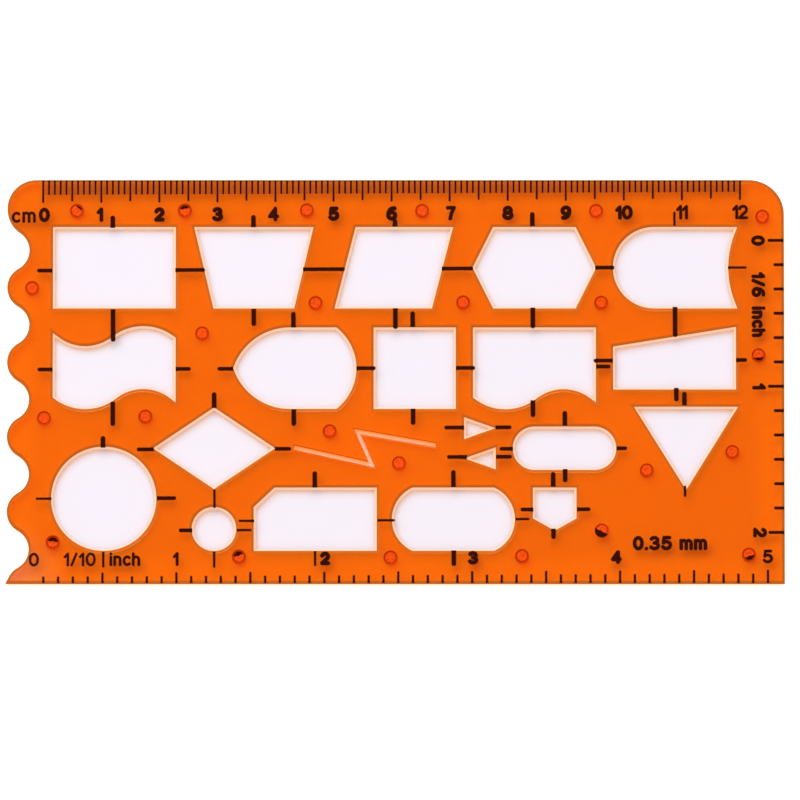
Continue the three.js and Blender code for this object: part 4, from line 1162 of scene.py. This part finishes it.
class StencilPips(bpy.types.Operator):
    """Builds the turned spacer pips in their holes"""
    bl_idname = "stencil.pips"
    bl_label = "Spacer Pips"

    def execute(self, context):
        pip = in_millimetres(context.scene.stencil_pips)
        material = existing("moulded_red", pip_finish, context.scene.stencil_finish)
        sole, foot, shank = pip["sole"] / 2, pip["foot"] / 2, pip["shank"] / 2
        soft, rim, dimple = pip["edge_round"], pip["end_round"], pip["dimple"]
        top = INK_FACE - pip["recess"]
        shoulder = UNDERSIDE - soft
        # Radius, height above the paper, and share of the unevenness
        profile = [
            (sole - soft, 0.0, 0), (sole, 0.3 * soft, 0),
            (foot - soft, pip["flare_height"] - 0.08, 0), (foot, pip["flare_height"], 0),
            (foot, UNDERSIDE - 1.3 * soft, 0), (foot - soft, shoulder, 0), (shank, shoulder, 0),
            (shank, top - 0.7 * rim, 0), (shank - 0.2 * rim, top - 0.3 * rim, 0.1),
            (shank - 0.55 * rim, top - 0.08 * rim, 0.5), (shank - rim, top, 1),
            (0.55 * shank, top - 0.6 * dimple, 1), (0.25 * shank, top - dimple, 1),
        ]
        chance = random.Random(24)
        for node, centre in pip_centres().items():
            maker = MeshMaker()
            aside = polar(pip["unevenness"] * math.sqrt(chance.random()), chance.uniform(0, FULL_TURN))
            rings = [maker.ring(moved(circle(2 * radius), centre + aside * part), z)
                     for radius, z, part in profile]
            for first, second in zip(rings, rings[1:]):
                maker.bridge(first, second)
            maker.face(tuple(rings[0][::-1]))
            maker.face(tuple(rings[-1]))
            made = maker.make(node.replace("spacer_pip", "turned_pip"), [material], "red_pip")
            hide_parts(node)
        return {"FINISHED"}


class StencilScales(bpy.types.Operator):
    """Stamps the ticks of the three edge scales"""
    bl_idname = "stencil.scales"
    bl_label = "Scale Ticks"

    def execute(self, context):
        size = in_millimetres(context.scene.stencil_print)
        slope = math.tan(context.scene.stencil_print.tilt)
        clear = size["tick_margin"]

        def stamp(name, width, ticks):
            stamping = Stamping(name, size["bleed"])
            for start, tip in ticks:
                end = tip + (start - tip).normalized() * width / 2
                stamping.add([(start, end)], width, square_start=True)
            return stamping

        def centimetre_tick(index):
            x = LEFT_EDGE + CENTIMETRE_ZERO + index
            reach = size["centimetre_tick"] if index % CENTIMETRE == 0 else (
                size["half_centimetre_tick"] if index % (CENTIMETRE // 2) == 0 else size["millimetre_tick"])
            return point(x, TOP_EDGE - clear), point(x, TOP_EDGE - reach + slope * x)

        def tenth_tick(index):
            x = LEFT_EDGE + TENTHS_ZERO + index * INCH / 2 / TENTHS_PER_HALF_INCH
            reach = size["half_inch_tick"] if index % TENTHS_PER_HALF_INCH == 0 else size["tenth_tick"]
            return point(x, BOTTOM_EDGE + clear), point(x, BOTTOM_EDGE + reach + slope * x)

        def sixth_tick(index):
            y = TOP_EDGE - SIXTHS_ZERO - index * INCH / SIXTHS_PER_INCH
            reach = size["inch_tick"] if index % SIXTHS_PER_INCH == 0 else size["sixth_tick"]
            return point(RIGHT_EDGE - clear, y), point(RIGHT_EDGE - reach, y)

        top_scale = stamp("centimetre_ticks", size["centimetre_tick_width"],
                          map(centimetre_tick, range(CENTIMETRES * CENTIMETRE + 1)))
        # Painted shadow of the ticks also fills the gaps between the millimetre ticks
        spread = size["centimetre_tick_width"] / 2 + size["bleed"]
        reach = size["millimetre_tick"] - clear
        for index in range(CENTIMETRES * CENTIMETRE):
            start, _ = centimetre_tick(index)
            depth = reach - slope * start.x
            between = moved(rectangle(1 - 2 * spread, depth), start + point(0.5, -depth / 2))
            top_scale.film.slab(union([between]), FACE - FILM_DEPTH, FACE + FILM_PROUD)
        bottom_scale = stamp("tenth_inch_ticks", size["tenth_tick_width"],
                             map(tenth_tick, range(1, 2 * INCHES_ALONG * TENTHS_PER_HALF_INCH + 1)))
        right_scale = stamp("sixth_inch_ticks", size["sixth_tick_width"],
                            map(sixth_tick, range(INCHES_ACROSS * SIXTHS_PER_INCH + 1)))
        for stamping in (top_scale, bottom_scale, right_scale):
            stamping.make(context.scene.stencil_finish)
        return {"FINISHED"}


def reach_along(outline, direction):
    """How far an outline reaches in one direction, measured on the line through its centre."""
    sideways = point(-direction.y, direction.x)
    reaches = [0.0]
    for corner, following in zip(outline, outline[1:] + outline[:1]):
        start, end = corner.dot(sideways), following.dot(sideways)
        if start * end <= 0 and start != end:
            reaches.append(corner.lerp(following, start / (start - end)).dot(direction))
    return max(reaches)


class StencilCentreMarks(bpy.types.Operator):
    """Stamps the centre marks of the cut-outs"""
    bl_idname = "stencil.centre_marks"
    bl_label = "Centre Marks"

    def execute(self, context):
        scene = context.scene
        size = in_millimetres(scene.stencil_print)
        tilt = Matrix.Rotation(scene.stencil_print.tilt, 2)
        directions = {"left": point(-1, 0), "right": point(1, 0), "up": point(0, 1), "down": point(0, -1)}
        stamping = Stamping("centre_marks", size["bleed"])
        for cutout in cutouts(in_millimetres(scene.stencil_sheet)):
            for side, reach in cutout["marks"].items():
                direction = directions[side]
                origin = cutout["stamped"]
                bold = size["upright_mark_width"] if side in ("up", "down") else size["level_mark_width"]
                width = size["fine_mark_width"] if side in cutout["fine"] else bold
                start = reach_along([corner - origin for corner in cutout["mouth"]], direction)
                ends = [origin + direction * (start + distance) for distance in (0, reach - width / 2)]
                stamping.add([[tilt @ end for end in ends]], width, square_start=True)
        stamping.make(scene.stencil_finish)
        return {"FINISHED"}


class StencilNumerals(bpy.types.Operator):
    """Stamps the plain numerals and unit words of the scales"""
    bl_idname = "stencil.numerals"
    bl_label = "Numerals"

    def execute(self, context):
        scene = context.scene
        size = in_millimetres(scene.stencil_print)
        tilt = scene.stencil_print.tilt
        turn = math.degrees(tilt)
        height, low_height = size["numeral_height"], size["low_numeral_height"]
        bold, word, fine = size["numeral_stroke"], size["word_stroke"], size["fine_stroke"]
        straight = Matrix.Rotation(tilt, 2)

        def numerals(name, entries):
            """Each entry: its words, place, height, stroke, gap between characters and turn, in degrees."""
            stamping = Stamping(name, size["bleed"])
            for words, x, y, high, pen, spacing, own_turn in entries:
                write(stamping, words, straight @ point(x, y), high, pen, spacing, turn + own_turn)
            stamping.make(scene.stencil_finish)

        heavy, faint, side = size["heavy_stroke"], size["faint_stroke"], size["side_stroke"]
        zero = LEFT_EDGE + CENTIMETRE_ZERO
        numerals("centimetre_numerals", [("cm", -63.92, TOP_LINE - 0.1, height, word, 0.36, 0)] + [
            (str(count), zero + count * CENTIMETRE + TOP_ASIDE.get(count, TOP_ASIDE_ELSE), TOP_LINE, height,
             faint if count in TOP_FAINT else heavy if count in TOP_HEAVY else bold, 0, 0)
            for count in range(CENTIMETRES + 1)])
        zero = LEFT_EDGE + TENTHS_ZERO
        numerals("tenth_inch_numerals", [
            ("0", -62.28, LOW_LINE, low_height, fine, 0.1, 0),
            ("1/10", -54.4, LOW_LINE, low_height, fine, 0.25, 0),
            ("inch", -46.65, LOW_LINE, low_height, word, 0.2, 0)] + [
            (str(count), zero + count * INCH + LOW_ASIDE.get(count, 0), LOW_LINE, low_height,
             heavy if count in LOW_HEAVY else faint, 0.1, 0)
            for count in range(1, INCHES_ALONG + 1)])
        zero = TOP_EDGE - SIXTHS_ZERO + SIDE_ASIDE
        numerals("sixth_inch_numerals", [
            ("1/6", SIDE_LINE, 16.58, low_height, side, 0.1, -90),
            ("inch", SIDE_LINE, 10.1, low_height, side, 0.1, -90)] + [
            (str(count), SIDE_LINE, zero - count * INCH, low_height, bold, 0.1, -90)
            for count in range(INCHES_ACROSS + 1)])
        numerals("pen_width_note", [("0.35 mm", 47.0, -28.3, height, bold, 0.14, 0)])
        return {"FINISHED"}


class StencilStrayInk(bpy.types.Operator):
    """Stamps the stray ink that some pips caught from the plate"""
    bl_idname = "stencil.stray_ink"
    bl_label = "Stray Ink"

    def execute(self, context):
        pip = in_millimetres(context.scene.stencil_pips)
        centres = pip_centres()
        chance = random.Random(45)
        maker = MeshMaker()
        for number, side, depth in INKED_PIPS:
            # Ink that reaches past the middle also filled the seat round the pip
            radius = pip["shank"] / 2 + (pip["seat"] if depth > 1 else -INK_SHORT_OF_RIM)
            swing = math.acos(1 - depth * pip["shank"] / 2 / radius)
            middle = math.radians(side)
            edge = arc(0, 0, radius, middle - swing, middle + swing)
            wavy = [edge[-1].lerp(edge[0], step / INK_WAVES)
                    + polar(chance.uniform(-INK_WAVINESS, INK_WAVINESS), middle)
                    for step in range(1, INK_WAVES)]
            patch = moved(edge + wavy, centres[f"spacer_pip_{number:02d}"])
            maker.slab(union([patch]), FACE - pip["recess"] - pip["dimple"], FACE + FILM_PROUD)
        ink = existing("stamping_ink", ink_finish, context.scene.stencil_finish)
        maker.make("stray_ink", [ink], smooth=False)
        return {"FINISHED"}


class StencilStudioStage(bpy.types.Operator):
    """Makes the pale floor, the soft lights and the camera"""
    bl_idname = "stencil.studio"
    bl_label = "Studio"

    def execute(self, context):
        scene = context.scene
        studio = scene.stencil_studio
        floor_mesh = bpy.data.meshes.new("studio_floor")
        corners = [corner.to_3d() for corner in rectangle(2 * FLOOR_HALF, 2 * FLOOR_HALF)]
        floor_mesh.from_pydata(corners, [], [(0, 1, 2, 3)])
        floor_mesh.materials.append(paper_finish(scene.stencil_finish, in_millimetres(scene.stencil_sheet)))
        floor = bpy.data.objects.new("studio_floor", floor_mesh)
        scene.collection.objects.link(floor)

        world = bpy.data.worlds.new("studio_sky")
        world.use_nodes = True
        tree = world.node_tree
        tree.nodes.clear()
        path = add_node(tree, "ShaderNodeLightPath")
        seen = add_node(tree, "ShaderNodeMix", {
            0: path.outputs["Is Camera Ray"], 2: studio.sky, 3: 1.0})
        brightness = add_node(tree, "ShaderNodeMix", {
            0: path.outputs["Is Glossy Ray"], 2: seen.outputs[0], 3: studio.mirrored_sky})
        sky = add_node(tree, "ShaderNodeBackground", {
            "Color": WHITE, "Strength": brightness.outputs[0]})
        add_node(tree, "ShaderNodeOutputWorld", {"Surface": sky.outputs[0]})
        # Light reaches the paper through the sheet as tinted shadow, so it isn't counted again by refraction
        world.cycles_visibility.transmission = False
        scene.world = world

        def soft_light(name, place, wide, high, power):
            light = bpy.data.lights.new(name, "AREA")
            light.shape = "RECTANGLE"
            light.size, light.size_y, light.energy = wide, high, power
            lamp = bpy.data.objects.new(name, light)
            lamp.location = place
            lamp.rotation_euler = (-Vector(place)).to_track_quat("-Z", "Y").to_euler()
            lamp.visible_transmission = False
            scene.collection.objects.link(lamp)

        soft_light("key_light", KEY_LIGHT_PLACE, wide=1.5, high=0.75, power=studio.key_power)
        soft_light("front_fill", FRONT_FILL_PLACE, wide=0.6, high=0.3, power=studio.fill_power)

        lens = bpy.data.cameras.new("camera")
        lens.lens = studio.lens
        lens.clip_start, lens.clip_end = NEAREST_SEEN, FARTHEST_SEEN
        camera = bpy.data.objects.new("camera", lens)
        target = Vector((studio.aim_right, studio.aim_up, INK_FACE * MM))
        back = Vector((0, -math.cos(studio.elevation), math.sin(studio.elevation)))
        camera.location = target + back * (studio.field * lens.lens / lens.sensor_width)
        camera.rotation_euler = (-back).to_track_quat("-Z", "Y").to_euler()
        scene.collection.objects.link(camera)
        scene.camera = camera
        scene.view_settings.view_transform = "Standard"
        return {"FINISHED"}


class StencilPanel(bpy.types.Panel):
    """Lists the sizes, finishes and building steps"""
    bl_idname = "VIEW3D_PT_stencil"
    bl_label = "Flowchart Stencil"
    bl_space_type = "VIEW_3D"
    bl_region_type = "UI"
    bl_category = "Stencil"

    def draw(self, context):
        layout = self.layout
        for holder in HOLDERS:
            column = layout.column(align=True)
            settings = getattr(context.scene, holder)
            for prop in settings.bl_rna.properties:
                if prop.identifier not in {"rna_type", "name"}:
                    column.prop(settings, prop.identifier)
        for operator in OPERATORS:
            layout.operator(operator.bl_idname)


HOLDERS = {
    "stencil_sheet": StencilSheetSizes,
    "stencil_print": StencilPrintSizes,
    "stencil_pips": StencilPipSizes,
    "stencil_finish": StencilFinish,
    "stencil_studio": StencilStudio,
}
OPERATORS = [StencilSheet, StencilPips, StencilScales, StencilCentreMarks, StencilNumerals,
             StencilStrayInk, StencilStudioStage]


def register():
    for group in [*HOLDERS.values(), *OPERATORS, StencilPanel]:
        bpy.utils.register_class(group)
    for holder, group in HOLDERS.items():
        setattr(bpy.types.Scene, holder, bpy.props.PointerProperty(type=group))


def unregister():
    for holder in HOLDERS:
        delattr(bpy.types.Scene, holder)
    for group in reversed([*HOLDERS.values(), *OPERATORS, StencilPanel]):
        bpy.utils.unregister_class(group)


def main():
    register()
    bpy.ops.stencil.sheet()
    bpy.ops.stencil.pips()
    bpy.ops.stencil.scales()
    bpy.ops.stencil.centre_marks()
    bpy.ops.stencil.numerals()
    bpy.ops.stencil.stray_ink()
    bpy.ops.stencil.studio()


if __name__ == "__main__":
    main()
